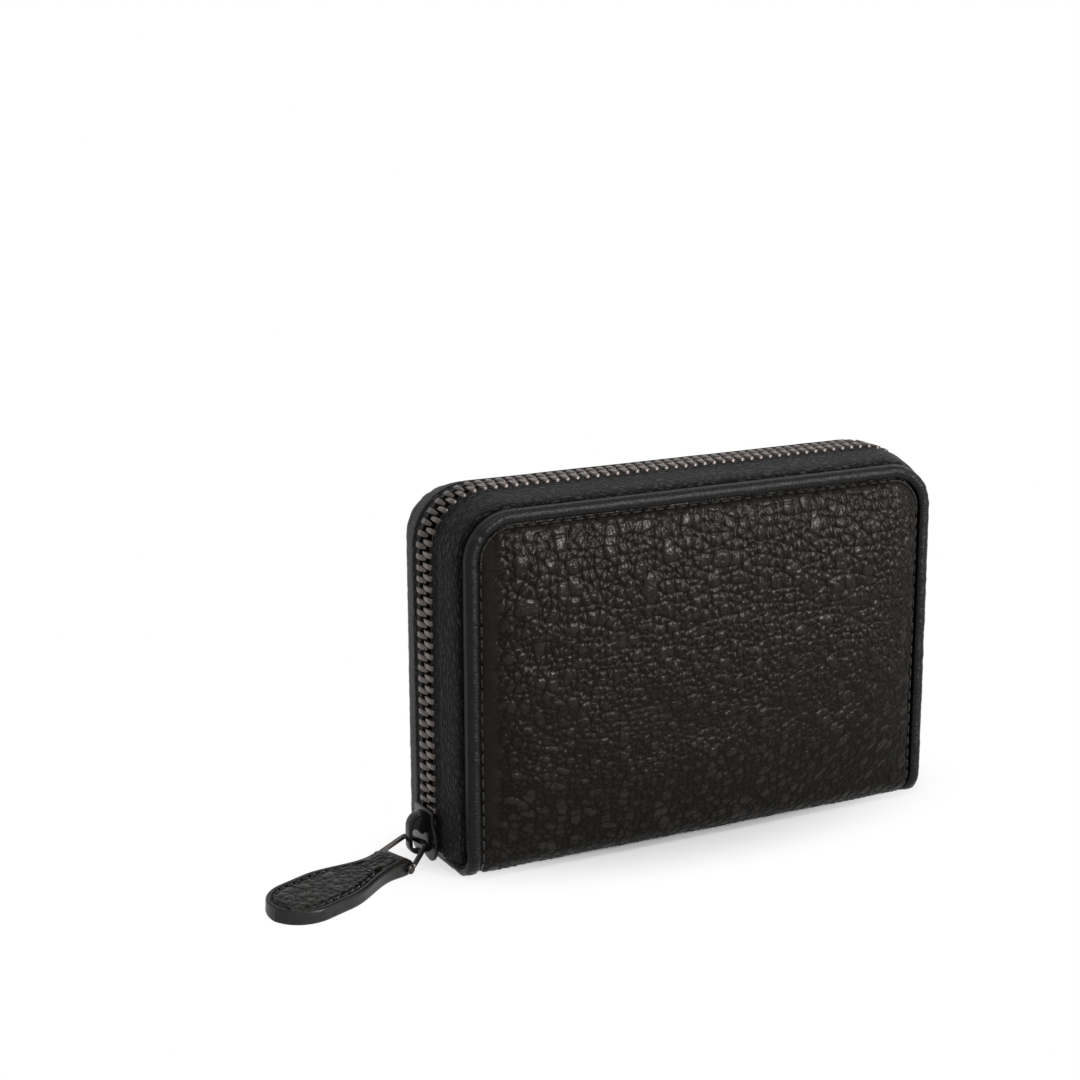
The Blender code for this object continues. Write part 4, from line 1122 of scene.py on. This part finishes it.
for node, body in (("front_top_stop", "front_cover"), ("rear_top_stop", "root"),
                   ("zip_bottom_stop", "root")):
    low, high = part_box(node)
    stop = rounded_block(node + "_metal", low, high, 0.25 * MM, ANTIQUE)
    settle(stop, body, "antique_metal", node)

# %% [markdown]
# Sewing shows in the groove beside the rolled edge as short raised dashes. One stitch is a
# small spindle of thread: a cylinder with its ends drawn in. It is copied along the walk and
# lies half sunk in the leather. The front row bends with the leather round the spine.

# %% Stitches in the grooves
STITCH_PITCH, STITCH_LENGTH, STITCH_RADIUS = 2.6 * MM, 1.9 * MM, 0.24 * MM
GROOVE_SEAM, GROOVE_DEPTH = 3.4 * MM, 0.60 * MM


def one_stitch(length, radius):
    """A spindle along X, pinched at its ends."""
    obj = cylinder(radius, length * 0.62, 7, ALONG_X)
    edit(obj)
    for way in (1, -1):
        select_faces(obj, lambda centre, normal: normal.x * way > 0.9)
        pulled = {"value": (way * length * 0.19, 0, 0)}
        bpy.ops.mesh.extrude_region_move(TRANSFORM_OT_translate=pulled)
        bpy.ops.transform.resize(value=(1, 0.45, 0.45),
                                 center_override=(way * length * 0.5, 0, -radius * 0.5))
    bpy.ops.object.mode_set(mode="OBJECT")
    obj.data.materials.append(THREAD)
    return smooth(obj, 60)


def frame_at(spot, ahead_spot, inward_spot):
    """A matrix with X towards the next spot and Z out of the surface."""
    x = (Vector(ahead_spot) - Vector(spot)).normalized()
    side = (Vector(inward_spot) - Vector(spot))
    z = x.cross(side).normalized()
    y = z.cross(x)
    return Matrix.Translation(Vector(spot)) @ Matrix((x, y, z)).transposed().to_4x4()


def stitched(name, walk, inset, depth, pitch, model):
    """A row of stitches along a walk."""
    walked = np.arange(pitch, walk.length - pitch / 2, pitch)
    here = walk.place(walked, inset, depth)
    ahead_of = walk.place(walked + 0.2 * MM, inset, depth)
    inward = walk.place(walked, inset + 0.2 * MM, depth)
    return copies(model, [frame_at(*spots) for spots in zip(here, ahead_of, inward)], name)


stitch = one_stitch(STITCH_LENGTH, STITCH_RADIUS)
front_stitches = stitched("front_groove_stitches", front_walk, GROOVE_SEAM, GROOVE_DEPTH,
                          STITCH_PITCH, stitch)
rear_stitches = stitched("rear_groove_stitches", rear_walk, GROOVE_SEAM, GROOVE_DEPTH,
                         STITCH_PITCH, stitch)
settle_bent(front_stitches, "smooth_leather", fold_span(LEATHER_FOLD))
settle(rear_stitches, "root", "smooth_leather")

# %% [markdown]
# Each cover is lined with twill, glued over its board and sewn in round the edge, so the cloth
# puckers a little along the seam. It is a thin slab: a grid in the cover's outline, with the
# puckers in its points, and given its thickness by a Solidify modifier.

# %% Linings
LINING_INSET, LINING_FACE, LINING_THICK = 3.05 * MM, 3.4 * MM, 0.28 * MM
LINING_FOOT, LINING_STEP = 5.8 * MM, 0.8 * MM
SEAM_INSET, SEAM_FOOT, SEAM_PITCH = 8.0 * MM, 6.8 * MM, 2.1 * MM


def lining(name, side):
    def place(share, z):
        x = share * half_width_at(z, LINING_INSET)
        seam = np.exp(-((rim_inset(x, z) - SEAM_INSET) / (0.6 * MM)) ** 2)
        pucker = 0.05 * MM * soft_noise(x, z, 2.2 * MM, 81 + side) - 0.10 * MM * seam
        y = side * (RIM_Y - LINING_FACE - np.minimum(pucker, 0))
        return np.stack([x, y, z], 1)

    rows = evenly(LINING_FOOT, HEIGHT - LINING_INSET, LINING_STEP)
    obj = laid_grid(name, TWILL, evenly(-1, 1, LINING_STEP / HALF_WIDTH), rows, place)
    faces_away(obj, -side)
    return smooth(modified(obj, "SOLIDIFY", thickness=LINING_THICK, offset=-1), 50)


for word, side, body in COVERS:
    cloth = lining(word + "_twill_lining", side)
    settle(cloth, body, "twill_lining", word + "_cover_lining")
    walk = RimWalk(side, SEAM_FOOT - BEND, False)
    seam_stitch = one_stitch(1.5 * MM, 0.16 * MM)
    row = stitched(word + "_lining_stitches", walk, SEAM_INSET, LINING_FACE, SEAM_PITCH,
                   seam_stitch)
    bpy.data.objects.remove(seam_stitch)
    settle(row, body, "twill_lining")
spine_low, spine_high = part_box("spine_lining")
settle(rounded_block("spine_twill", spine_low, spine_high, 0.12 * MM, TWILL, 2), "root",
       "twill_lining", "spine_lining")

# %% [markdown]
# Thirteen stiff walls of nylon divide the inside. A wall is a thin block with rounded edges,
# and a light cord of piping is sewn along its top. Each rides on its own body, so the walls
# spread like a fan when the wallet opens.

# %% Pocket walls with their piping
PIPING_RADIUS = 0.34 * MM
WALL_COUNT = 13


def piping(name, low, high):
    """A cord along the top of a wall, with rounded ends."""
    y, z = (low[1] + high[1]) / 2, high[2] - PIPING_RADIUS * 0.7
    obj = cylinder(PIPING_RADIUS, high[0] - low[0], 10, ALONG_X, (0, y, z))
    obj.name = obj.data.name = name
    edit(obj)
    select_faces(obj, lambda centre, normal: abs(normal.x) > 0.9)
    bpy.ops.mesh.bevel(offset=0.12 * MM, segments=2, affect="EDGES")
    bpy.ops.object.mode_set(mode="OBJECT")
    obj.data.materials.append(PIPING)
    return smooth(obj, 50)


wall_middles = []
for k in range(1, WALL_COUNT + 1):
    node, body = f"pocket_wall_{k:02d}", f"wall_{k:02d}"
    low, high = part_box(node)
    wall_middles.append((low[1] + high[1]) / 2)
    settle(rounded_block(f"nylon_wall_{k:02d}", low, high, 0.16 * MM, WALL_CLOTH, 2), body,
           "ribbed_nylon", node)
    settle(piping(f"wall_piping_{k:02d}", low, high), body, "ribbed_nylon")

# %% [markdown]
# Between two walls a folded gusset closes each end of the pocket, and a pleat closes its foot.
# In the closed wallet they are folded flat, and when it opens they spread into a V. A gusset
# touches two walls that turn by different angles, so the span worked out for its bend between
# the two covers starts and ends where it meets just those two walls' share of the turn.

# %% Gussets and floor pleats
HALF_TURN = 90.0
FIRST_ANGLE, ANGLE_STEP = 12.0, 5.5
GUSSET_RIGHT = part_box("pocket_gusset_right")
CLOTH = 0.16 * MM


def share_of_turn(degrees):
    """Where a smooth step reaches this share of the covers' turn."""
    return 0.5 - math.sin(math.asin(1 - 2 * degrees / HALF_TURN) / 3)


def bend_between(y_a, degrees_a, y_b, degrees_b):
    """Start and end of a bend that turns by the two angles at the two depths."""
    a, b = share_of_turn(degrees_a), share_of_turn(degrees_b)
    span = (y_b - y_a) / (b - a)
    start = y_a - a * span
    return {"start": (0, start, 0), "end": (0, start + span, 0)}


def folded_strip(name, finish, fold, low, high, axis):
    """A cloth folded along a line of points, drawn from low to high along the other axis."""
    fold = np.array(fold, float)
    across = distances(fold)

    def place(length, width):
        k = number_in(across, width)
        first, second = fold[k, 0], fold[k, 1]
        if axis == "Z":
            return np.stack([first, second, length], 1)
        return np.stack([length, second, first], 1)

    obj = laid_grid(name, finish, evenly(low, high, 3 * MM), across, place)
    return smooth(modified(obj, "SOLIDIFY", thickness=CLOTH, offset=0), 40)


def fold_points(near, far, y_a, y_b, count=6):
    """Out along one wall, round a tight fold and back along the next wall."""
    shares = np.linspace(0, 1, count)
    out = [(near + (far - near) * s, y_a) for s in shares]
    return out + [(far, (y_a + y_b) / 2)] + [(x, y_b) for x, _ in reversed(out)]


near_right, far_right = GUSSET_RIGHT[0][0], GUSSET_RIGHT[1][0] - 0.1 * MM
gusset_foot, gusset_top = GUSSET_RIGHT[0][2], GUSSET_RIGHT[1][2] - 0.3 * MM
pleat_low, pleat_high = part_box("pocket_floor_pleats")
for k in range(1, WALL_COUNT):
    y_a, y_b = wall_middles[k - 1], wall_middles[k]
    quarter = (y_a - y_b) / 4
    parts = []
    for end in (-1, 1):
        points = fold_points(end * near_right, end * far_right, y_a - quarter, y_b + quarter)
        parts.append(folded_strip("gusset", GROSGRAIN, points, gusset_foot, gusset_top, "Z"))
    points = fold_points(pleat_high[2], pleat_low[2], y_a - quarter, y_b + quarter, 3)
    parts.append(folded_strip("pleat", GROSGRAIN, points, pleat_low[0], pleat_high[0], "X"))
    gusset = join(parts, f"pocket_gussets_{k:02d}")
    angle = FIRST_ANGLE + ANGLE_STEP * (k - 1)
    span = bend_between(y_a - quarter, angle, y_b + quarter, angle + ANGLE_STEP)
    settle_bent(gusset, "ribbed_nylon", span, "pocket_gusset_left", "pocket_gusset_right",
                "pocket_floor_pleats")

# %% [markdown]
# The outermost walls are joined to the covers by wider ribbons of a lighter cloth, one at each
# end of each cover. They are folded in the same way, and the spans worked out for their bends
# cover the first and last share of the covers' turn.

# %% Ribbon gussets
last_angle = FIRST_ANGLE + ANGLE_STEP * (WALL_COUNT - 1)
for word, side, angles in (("rear", REAR, (0.0, FIRST_ANGLE)),
                           ("front", FRONT, (HALF_TURN, last_angle))):
    for way, end in (("left", -1), ("right", 1)):
        node = f"{word}_ribbon_gusset_{way}"
        low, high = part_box(node)
        y_cover = high[1] if side == REAR else low[1]
        y_wall = low[1] if side == REAR else high[1]
        near, far = (high[0], low[0]) if end == -1 else (low[0], high[0])
        leg_wall, leg_cover = y_wall + side * 0.1 * MM, y_cover - side * 0.1 * MM
        points = fold_points(near, far - end * 0.1 * MM, leg_wall, leg_cover)
        ribbon = folded_strip(f"{word}_ribbon_{way}", RIBBON, points, gusset_foot, gusset_top, "Z")
        ends = ((leg_cover, angles[0]), (leg_wall, angles[1]))
        first, last = ends if side == REAR else ends[::-1]
        settle_bent(ribbon, "gusset_ribbon", bend_between(*first, *last), node)

# %% [markdown]
# The slider is two plates joined by a post, with flanges beside the teeth. Its outer plate is
# narrow and flat on top and widens to two round lobes below. The outline is drawn once as a
# filled curve with fine arcs, made a mesh, and its edges are rounded by a bevel.

# %% Slider body
SLIDER_FOOT, SLIDER_TOP = 1.6 * MM, 12.1 * MM
TOP_HALF, FOOT_HALF = 4.2 * MM, 5.8 * MM
PLATE = 0.7 * MM
slider_low, slider_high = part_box("zip_slider_body")


def arc(across, along, radius, first, last, steps):
    """Points on an arc round a middle, from one angle in degrees to another."""
    turns = [math.radians(first + (last - first) * k / steps) for k in range(steps + 1)]
    return [(across + radius * math.cos(t), along + radius * math.sin(t)) for t in turns]


def slider_plan():
    """The plate's outline as (y, z) points, round at the lobes and at the shoulders."""
    lobe, shoulder = FOOT_HALF / 2, 0.5 * MM
    half = [(0, SLIDER_FOOT + 0.9 * MM), (0.9 * MM, SLIDER_FOOT + 0.35 * MM)]
    half += arc(lobe, SLIDER_FOOT + lobe, lobe, -90, 0, 12)
    half += [(FOOT_HALF, SLIDER_FOOT + 4.6 * MM), (FOOT_HALF - 0.12 * MM, SLIDER_FOOT + 5.4 * MM),
             (FOOT_HALF - 0.45 * MM, SLIDER_FOOT + 6.6 * MM), (TOP_HALF, SLIDER_FOOT + 8.0 * MM)]
    half += arc(TOP_HALF - shoulder, SLIDER_TOP - shoulder, shoulder, 0, 90, 5)
    return half + [(-y, z) for y, z in reversed(half[1:])]


def filled_outline(name, points, thickness, finish):
    """A mesh slab from a flat outline in its own XY plane."""
    data = bpy.data.curves.new(name, "CURVE")
    data.dimensions = "2D"
    data.fill_mode = "BOTH"
    data.extrude = thickness / 2
    spline = data.splines.new("POLY")
    spline.points.add(len(points) - 1)
    for point, (x, y) in zip(spline.points, points):
        point.co = (x, y, 0, 1)
    spline.use_cyclic_u = True
    obj = bpy.data.objects.new(name, data)
    bpy.context.collection.objects.link(obj)
    pick(obj)
    bpy.ops.object.convert(target="MESH")
    obj = bpy.context.object
    edit(obj)
    bpy.ops.mesh.remove_doubles(threshold=WELD)
    bpy.ops.mesh.normals_make_consistent(inside=False)
    bpy.ops.mesh.dissolve_limited(angle_limit=math.radians(0.5))
    bpy.ops.object.mode_set(mode="OBJECT")
    obj.data.materials.clear()
    obj.data.materials.append(finish)
    return obj


def bevelled(obj, width, segments=2):
    return modified(obj, "BEVEL", width=width, segments=segments, limit_method="ANGLE",
                    angle_limit=math.radians(40))


def slider_plate(name, x):
    plate = filled_outline(name, slider_plan(), PLATE, BLACK_METAL)
    upright = Matrix.Rotation(math.pi / 2, 4, "Z") @ Matrix.Rotation(math.pi / 2, 4, "X")
    plate.data.transform(Matrix.Translation((x, 0, 0)) @ upright)
    return bevelled(plate, 0.22 * MM, 3)


outer_x, inner_x = slider_low[0] + PLATE / 2, slider_high[0] - PLATE / 2
parts = [slider_plate("slider_outer_plate", outer_x), slider_plate("slider_inner_plate", inner_x)]
parts.append(rounded_block("slider_post", (outer_x, -0.9 * MM, 2.5 * MM),
                           (inner_x, 0.9 * MM, 4.9 * MM), 0.3 * MM, BLACK_METAL))
for end in (-1, 1):
    y_low, y_high = sorted((end * 3.55 * MM, end * 4.15 * MM))
    for x_low, x_high in ((outer_x, outer_x + 0.85 * MM), (inner_x - 0.85 * MM, inner_x)):
        parts.append(rounded_block("slider_flange", (x_low, y_low, 6.9 * MM),
                                   (x_high, y_high, 10.6 * MM), 0.18 * MM, BLACK_METAL))
slider = smooth(join(parts, "slider_body_black"), 45)
settle(slider, "zip_slider", "black_metal", "zip_slider_body")

# %% [markdown]
# On the plate sits the crown, a flat-sided dome that holds the ring. Its cap is swept along the
# arch's middle line with a section that is flat inside and rounded outside. Two cheeks close
# its upper part and end in a curve above the ring's eye. Under it lies the lock's leaf spring.

# %% Crown of the slider
crown_low, crown_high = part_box("zip_slider_crown")
CROWN_HALF = crown_high[1]
CAP_SECTION = [(-0.86, -0.28), (-0.98, -0.16), (-1.00, 0.05), (-0.97, 0.18), (-0.86, 0.32),
               (-0.60, 0.42), (-0.3, 0.45), (0.0, 0.46), (0.3, 0.45), (0.60, 0.42), (0.86, 0.32),
               (0.97, 0.18), (1.00, 0.05), (0.98, -0.16), (0.86, -0.28), (0.3, -0.30),
               (-0.3, -0.30), (-0.86, -0.28)]
LOWER_TURN, UPPER_TURN = 1.7 * MM, 2.7 * MM
CHEEK, CHEEK_SINK, EYE_TOP = 0.34 * MM, 0.10 * MM, 6.75 * MM


def crown_line():
    """The arch's middle line in x and z, from its lower foot round to its upper foot."""
    base, out = crown_high[0] + 0.25 * MM, crown_low[0] + 0.42 * MM
    foot, top = crown_low[2] + 0.38 * MM, crown_high[2] - 0.42 * MM
    lower = arc(out + LOWER_TURN, foot + LOWER_TURN, LOWER_TURN, -90, -180, 8)
    upper = arc(out + UPPER_TURN, top - UPPER_TURN, UPPER_TURN, 180, 90, 12)
    return np.array([(base, foot), *lower, *upper, (base, top)])


def crown_cap():
    line = crown_line()
    ways = np.gradient(line, axis=0)
    outwards = np.stack([ways[:, 1] * -1, ways[:, 0]], 1) / np.hypot(*ways.T)[:, None]
    flip = np.sign(((line - line.mean(0)) * outwards).sum(1))[:, None]
    outwards = outwards * flip
    walked = distances(line)
    loop = np.array([(y * CROWN_HALF / MM, r) for y, r in CAP_SECTION])
    across = distances(loop) * MM

    def place(length, width):
        k, s = number_in(across, width), number_in(walked, length)
        y, lift = loop[k, 0] * MM, loop[k, 1] * MM
        x, z = line[s, 0] + outwards[s, 0] * lift, line[s, 1] + outwards[s, 1] * lift
        return np.stack([x, y, z], 1)

    obj = close_up(laid_grid("crown", BLACK_METAL, walked, across, place))
    return modified(obj, "SUBSURF", levels=1, render_levels=1)


def crown_cheek(end):
    """One flat side of the crown, above the eye, with a curved lower edge."""
    arch = [tuple(p) for p in crown_line() if p[1] > EYE_TOP + 0.5 * MM]
    (x_out, _), (x_in, z_top) = arch[0], arch[-1]
    wave = []
    for k in range(13):
        share = k / 12
        drop = 0.55 * MM * math.sin(share * 2 * math.pi) - 0.35 * MM * share
        wave.append((x_in + (x_out - x_in) * share, EYE_TOP + 0.5 * MM - drop))
    cheek = filled_outline("cheek", arch + wave, CHEEK, BLACK_METAL)
    there = Matrix.Translation((0, end * (CROWN_HALF - CHEEK / 2 - CHEEK_SINK), 0))
    cheek.data.transform(there @ Matrix.Rotation(math.pi / 2, 4, "X"))
    return bevelled(cheek, 0.1 * MM, 2)


crown_parts = [crown_cap(), crown_cheek(-1), crown_cheek(1)]
crown_piece = smooth(join(crown_parts, "slider_crown"), 50)
settle(crown_piece, "zip_slider", "black_metal", "zip_slider_crown")
refinish("slider_lock_spring", STEEL)
print("the lock's leaf keeps its shape from the frame")

# %% [markdown]
# The pull hangs from the crown's eye. Its own axes are a matrix: the heading on the table, a
# slight roll, and for the ring its slope down to the tab. The ring is a rounded wire loop: a
# circle drawn along the loop's line. A small ear sits on each end of its far bar, as in the
# photograph.

# %% Ring
EYE = Vector((-60.15, 0, 5.4)) * MM
RING_LENGTH, RING_ROUND, WIRE, WIRE_SIDES = 7.2 * MM, 1.1 * MM, 0.55 * MM, 14
RING_NEAR, RING_FAR = 2.9 * MM, 4.8 * MM
TAB_HEIGHT = 2.4 * MM
PULL_HEADING, PULL_ROLL = math.radians(24), math.radians(-4)
RING_PITCH = math.asin((EYE.z - TAB_HEIGHT) / RING_LENGTH)
pull_axes = Matrix.Translation(EYE) @ Matrix.Rotation(math.pi + PULL_HEADING, 4, "Z") \
    @ Matrix.Rotation(PULL_ROLL, 4, "X")
ring_axes = pull_axes @ Matrix.Rotation(RING_PITCH, 4, "Y")
tab_axes = pull_axes @ Matrix.Translation((RING_LENGTH * math.cos(RING_PITCH), 0,
                                           -RING_LENGTH * math.sin(RING_PITCH)))


def ring_line(steps=8):
    """The loop's middle line in its own plane: wider at the pull, with rounded corners."""
    corners = [Vector(c) for c in ((0, RING_NEAR), (RING_LENGTH, RING_FAR),
                                   (RING_LENGTH, -RING_FAR), (0, -RING_NEAR))]
    points = []
    for k, corner in enumerate(corners):
        back = (corners[k - 1] - corner).normalized()
        on = (corners[(k + 1) % 4] - corner).normalized()
        half_angle = back.angle(on) / 2
        middle = corner + (back + on).normalized() * RING_ROUND / math.sin(half_angle)
        reach = RING_ROUND / math.tan(half_angle)
        first, last = corner + back * reach - middle, corner + on * reach - middle
        for s in range(steps + 1):
            spoke = (first * (1 - s / steps) + last * (s / steps)).normalized() * RING_ROUND
            points.append(tuple(middle + spoke))
    return points


def wire_ring():
    """The wire loop, with an ear on each end of its far bar."""
    line = np.array(ring_line())
    ahead_of = np.roll(line, -1, 0) - np.roll(line, 1, 0)
    ahead_of /= np.hypot(*ahead_of.T)[:, None]
    outwards = np.stack([-ahead_of[:, 1], ahead_of[:, 0]], 1)

    def place(index, turn):
        k = np.rint(index).astype(int) % len(line)
        spots = line[k] + outwards[k] * WIRE * np.cos(turn)[:, None]
        return np.column_stack([spots, WIRE * np.sin(turn)])

    wire = laid_grid("ring", GUNMETAL, np.arange(len(line) + 1.0),
                     np.linspace(0, 2 * math.pi, WIRE_SIDES + 1), place)
    parts = [close_up(wire)]
    for end in (-1, 1):
        ear = cylinder(0.95 * MM, 0.75 * MM, 20, ALONG_Y,
                       (RING_LENGTH, end * (RING_FAR - 0.15 * MM), 0))
        ear.data.materials.append(GUNMETAL)
        parts.append(bevelled(ear, 0.2 * MM, 3))
    ring = join(parts, "pull_wire_ring")
    ring.data.transform(ring_axes)
    return smooth(ring, 45)


settle(wire_ring(), "pull_ring", "black_metal", "pull_ring")

# %% [markdown]
# The pull is one strip of leather folded round the ring's far bar and sewn to itself. Its plan
# has a neck, a shoulder and a round end. It is laid as a closed sleeve: each ring of points
# goes over the top face, round one painted edge, under, and back. The grain is scale-like, and
# the sewn line sinks into it.

# %% Leather pull
TAB_LENGTH, TAB_HALF, NECK_HALF = 33.4 * MM, 7.0 * MM, 3.9 * MM
NECK_LENGTH, SHOULDER_LENGTH, END_LENGTH = 4.0 * MM, 15.0 * MM, 8.0 * MM
TAB_THICK, NECK_ROUND, EDGE_ROUND = 2.9 * MM, 1.75 * MM, 0.55 * MM
SEWN_INSET, SEWN_DEPTH = 1.75 * MM, 0.60 * MM
CROSS_SEAM = 8.6 * MM
BAR_HOLE = 0.72 * MM


def tab_half_width(along, inset=0.0):
    """Half the pull's width at a distance along it, for its outline set in by the inset."""
    share = step(NECK_LENGTH, NECK_LENGTH + SHOULDER_LENGTH, along)
    width = NECK_HALF + (TAB_HALF - NECK_HALF) * share - inset
    over = np.clip((along - TAB_LENGTH + END_LENGTH) / (END_LENGTH - inset), 0, 1)
    return width * np.sqrt(np.maximum(1 - over ** 2, 0))


def tab_stations():
    """Distances along the pull, closer together at the round ends."""
    near = -NECK_ROUND * np.cos(np.linspace(0, math.pi / 2, 10))
    body = evenly(0, TAB_LENGTH - END_LENGTH, 0.27 * MM)[1:]
    end = TAB_LENGTH - END_LENGTH + END_LENGTH * np.sin(np.linspace(0, math.pi / 2, 44))[1:]
    return np.concatenate([near, body, end])


TOP_COUNT, EDGE_COUNT, UNDER_COUNT = 46, 12, 30
LOOP_COUNT = TOP_COUNT + EDGE_COUNT + UNDER_COUNT + EDGE_COUNT


def pull_tab():
    """The folded leather as one closed sleeve, with the hole for the ring's far bar."""
    values = {}

    def place(along, index):
        k = np.rint(index / MM).astype(int) % LOOP_COUNT
        half = np.maximum(tab_half_width(np.maximum(along, 0)) - EDGE_ROUND, 0)
        thick = np.where(along < 0, np.sqrt(np.maximum(NECK_ROUND ** 2 - along ** 2, 0)),
                         NECK_ROUND + (TAB_THICK / 2 - NECK_ROUND) * step(0, 5 * MM, along))
        on_top = k < TOP_COUNT
        on_left = (k >= TOP_COUNT) & (k < TOP_COUNT + EDGE_COUNT)
        under = (k >= TOP_COUNT + EDGE_COUNT) & (k < TOP_COUNT + EDGE_COUNT + UNDER_COUNT)
        across = np.where(on_top, 1 - 2 * k / (TOP_COUNT - 1),
                          np.where(under, 2 * (k - TOP_COUNT - EDGE_COUNT) / (UNDER_COUNT - 1) - 1, 0))
        across = np.where(on_left, -1, np.where(~on_top & ~under, 1, across))
        edge_step = np.where(on_left, k - TOP_COUNT, k - TOP_COUNT - EDGE_COUNT - UNDER_COUNT) + 1
        angle = np.where(on_left, 1, -1) * math.pi * edge_step / (EDGE_COUNT + 1)
        lean = np.where(on_top, 0, np.where(under, math.pi, angle))
        bulge = EDGE_ROUND * np.abs(np.sin(lean))
        notch = 0.11 * MM * np.exp(-(np.cos(lean) / 0.22) ** 2) * (~on_top & ~under)
        squash_end = np.clip((TAB_LENGTH - along) / (0.8 * MM), 0, 1) ** 0.5
        y = across * half + np.sign(across) * (bulge - notch) * squash_end * (~on_top & ~under)
        rounded = np.sign(np.cos(lean)) * np.abs(np.cos(lean)) ** 0.5
        z = thick * np.where(on_top, 1, np.where(under, -1, rounded))
        face = on_top | under
        height, clear = lumps(along / 1.3, y, 1.45 * MM, 91, 0.16 * MM)
        from_edge = np.minimum(half + EDGE_ROUND - np.abs(y), np.maximum(TAB_LENGTH - along, 0))
        sewn = np.exp(-((from_edge - SEWN_INSET) / (0.42 * MM)) ** 2) * step(5 * MM, 7 * MM, along)
        cross = np.exp(-((along - CROSS_SEAM) / (0.32 * MM)) ** 2) * (from_edge > SEWN_INSET)
        pillow = 0.16 * MM * (1 - step(0, 1.1 * MM, from_edge))
        fade = step(0.9 * MM, 2.1 * MM, from_edge) * step(-1 * MM, 2 * MM, along)
        lift = 0.20 * MM * height * fade - SEWN_DEPTH * np.maximum(sewn, cross) - pillow
        z = z + np.where(on_top, 1, -1) * lift * face
        values["grain"] = np.where(face, clear * fade + 0.7 * (1 - fade), 0.9)
        return np.stack([along, y, z], 1)

    obj = laid_grid("pull_tab_pebbled", PEBBLED, tab_stations(),
                    np.arange(LOOP_COUNT + 1.0) * MM, place)
    carry_crease_shade_and_gloss(obj, values["grain"])
    obj.data.materials.append(PAINTED)
    for polygon in obj.data.polygons:
        middle = polygon.center
        steep = abs(polygon.normal.z) < 0.72 and middle.x > 0.2 * MM
        polygon.material_index = 1 if steep and abs(middle.z) < TAB_THICK * 0.47 else 0
    close_up(obj)
    drill = cylinder(BAR_HOLE, 20 * MM, 24, ALONG_Y)
    modified(obj, "BOOLEAN", operation="DIFFERENCE", object=drill)
    bpy.data.objects.remove(drill)
    obj.data.transform(tab_axes)
    return smooth(obj, 60)


tab = pull_tab()
settle(tab, "pull_tab", "pebbled_leather", "pull_tab_leather")

# %% Filler strip inside the pull
CORE_FROM, CORE_INSET, CORE_THICK = 3.6 * MM, 1.0 * MM, 0.7 * MM


def tab_filler():
    """The strip between the two layers of the pull."""
    def place(along, share):
        half = tab_half_width(along + CORE_INSET) - 0.5 * CORE_INSET
        return np.stack([along, share * half, 0 * along], 1)

    stations = evenly(CORE_FROM, TAB_LENGTH - CORE_INSET - 0.1 * MM, 0.8 * MM)
    strip = laid_grid("pull_tab_filler", TAB_FILLER, stations, evenly(-1, 1, 0.1), place)
    modified(strip, "SOLIDIFY", thickness=CORE_THICK, offset=0)
    strip.data.transform(tab_axes)
    return smooth(strip, 40)


settle(tab_filler(), "pull_tab", "tab_core", "pull_tab_core")

# %% [markdown]
# The pull is sewn round its edge and once across the neck. The same spindle of thread is
# copied along the tab's outline, set in from the painted edge, on its top and its underside.

# %% Stitches of the pull
TAB_PITCH, NECK_PITCH, THREAD_SINK = 2.05 * MM, 1.1 * MM, 0.10 * MM


def tab_seam(face):
    """Matrices of the stitches on the top (1) or the underside (-1) of the pull."""
    steps = np.linspace(CROSS_SEAM, TAB_LENGTH - SEWN_INSET, 900)
    half = tab_half_width(steps, SEWN_INSET)
    line = np.concatenate([np.stack([steps, half], 1), np.stack([steps, -half], 1)[::-1][1:]])
    walked = distances(line)
    count = int(walked[-1] / TAB_PITCH)
    z = face * (TAB_THICK / 2 - THREAD_SINK)
    made = []
    for k in range(count):
        s = walked[-1] * (k + 0.5) / count
        pair = [s, s + 0.1 * MM]
        (x, x_next), (y, y_next) = (np.interp(pair, walked, line[:, c]) for c in (0, 1))
        heading = Matrix.Rotation(math.atan2(y_next - y, x_next - x), 4, "Z")
        made.append(Matrix.Translation((x, y, z)) @ heading)
    for k in (-1, 0, 1):
        made.append(Matrix.Translation((CROSS_SEAM, k * NECK_PITCH, z))
                    @ Matrix.Rotation(math.pi / 2, 4, "Z"))
    return made


tab_stitch = one_stitch(1.55 * MM, 0.19 * MM)
tab_stitches = copies(tab_stitch, tab_seam(1) + tab_seam(-1), "pull_tab_stitches")
tab_stitches.data.transform(tab_axes)
bpy.data.objects.remove(tab_stitch)
bpy.data.objects.remove(stitch)
settle(tab_stitches, "pull_tab", "smooth_leather")
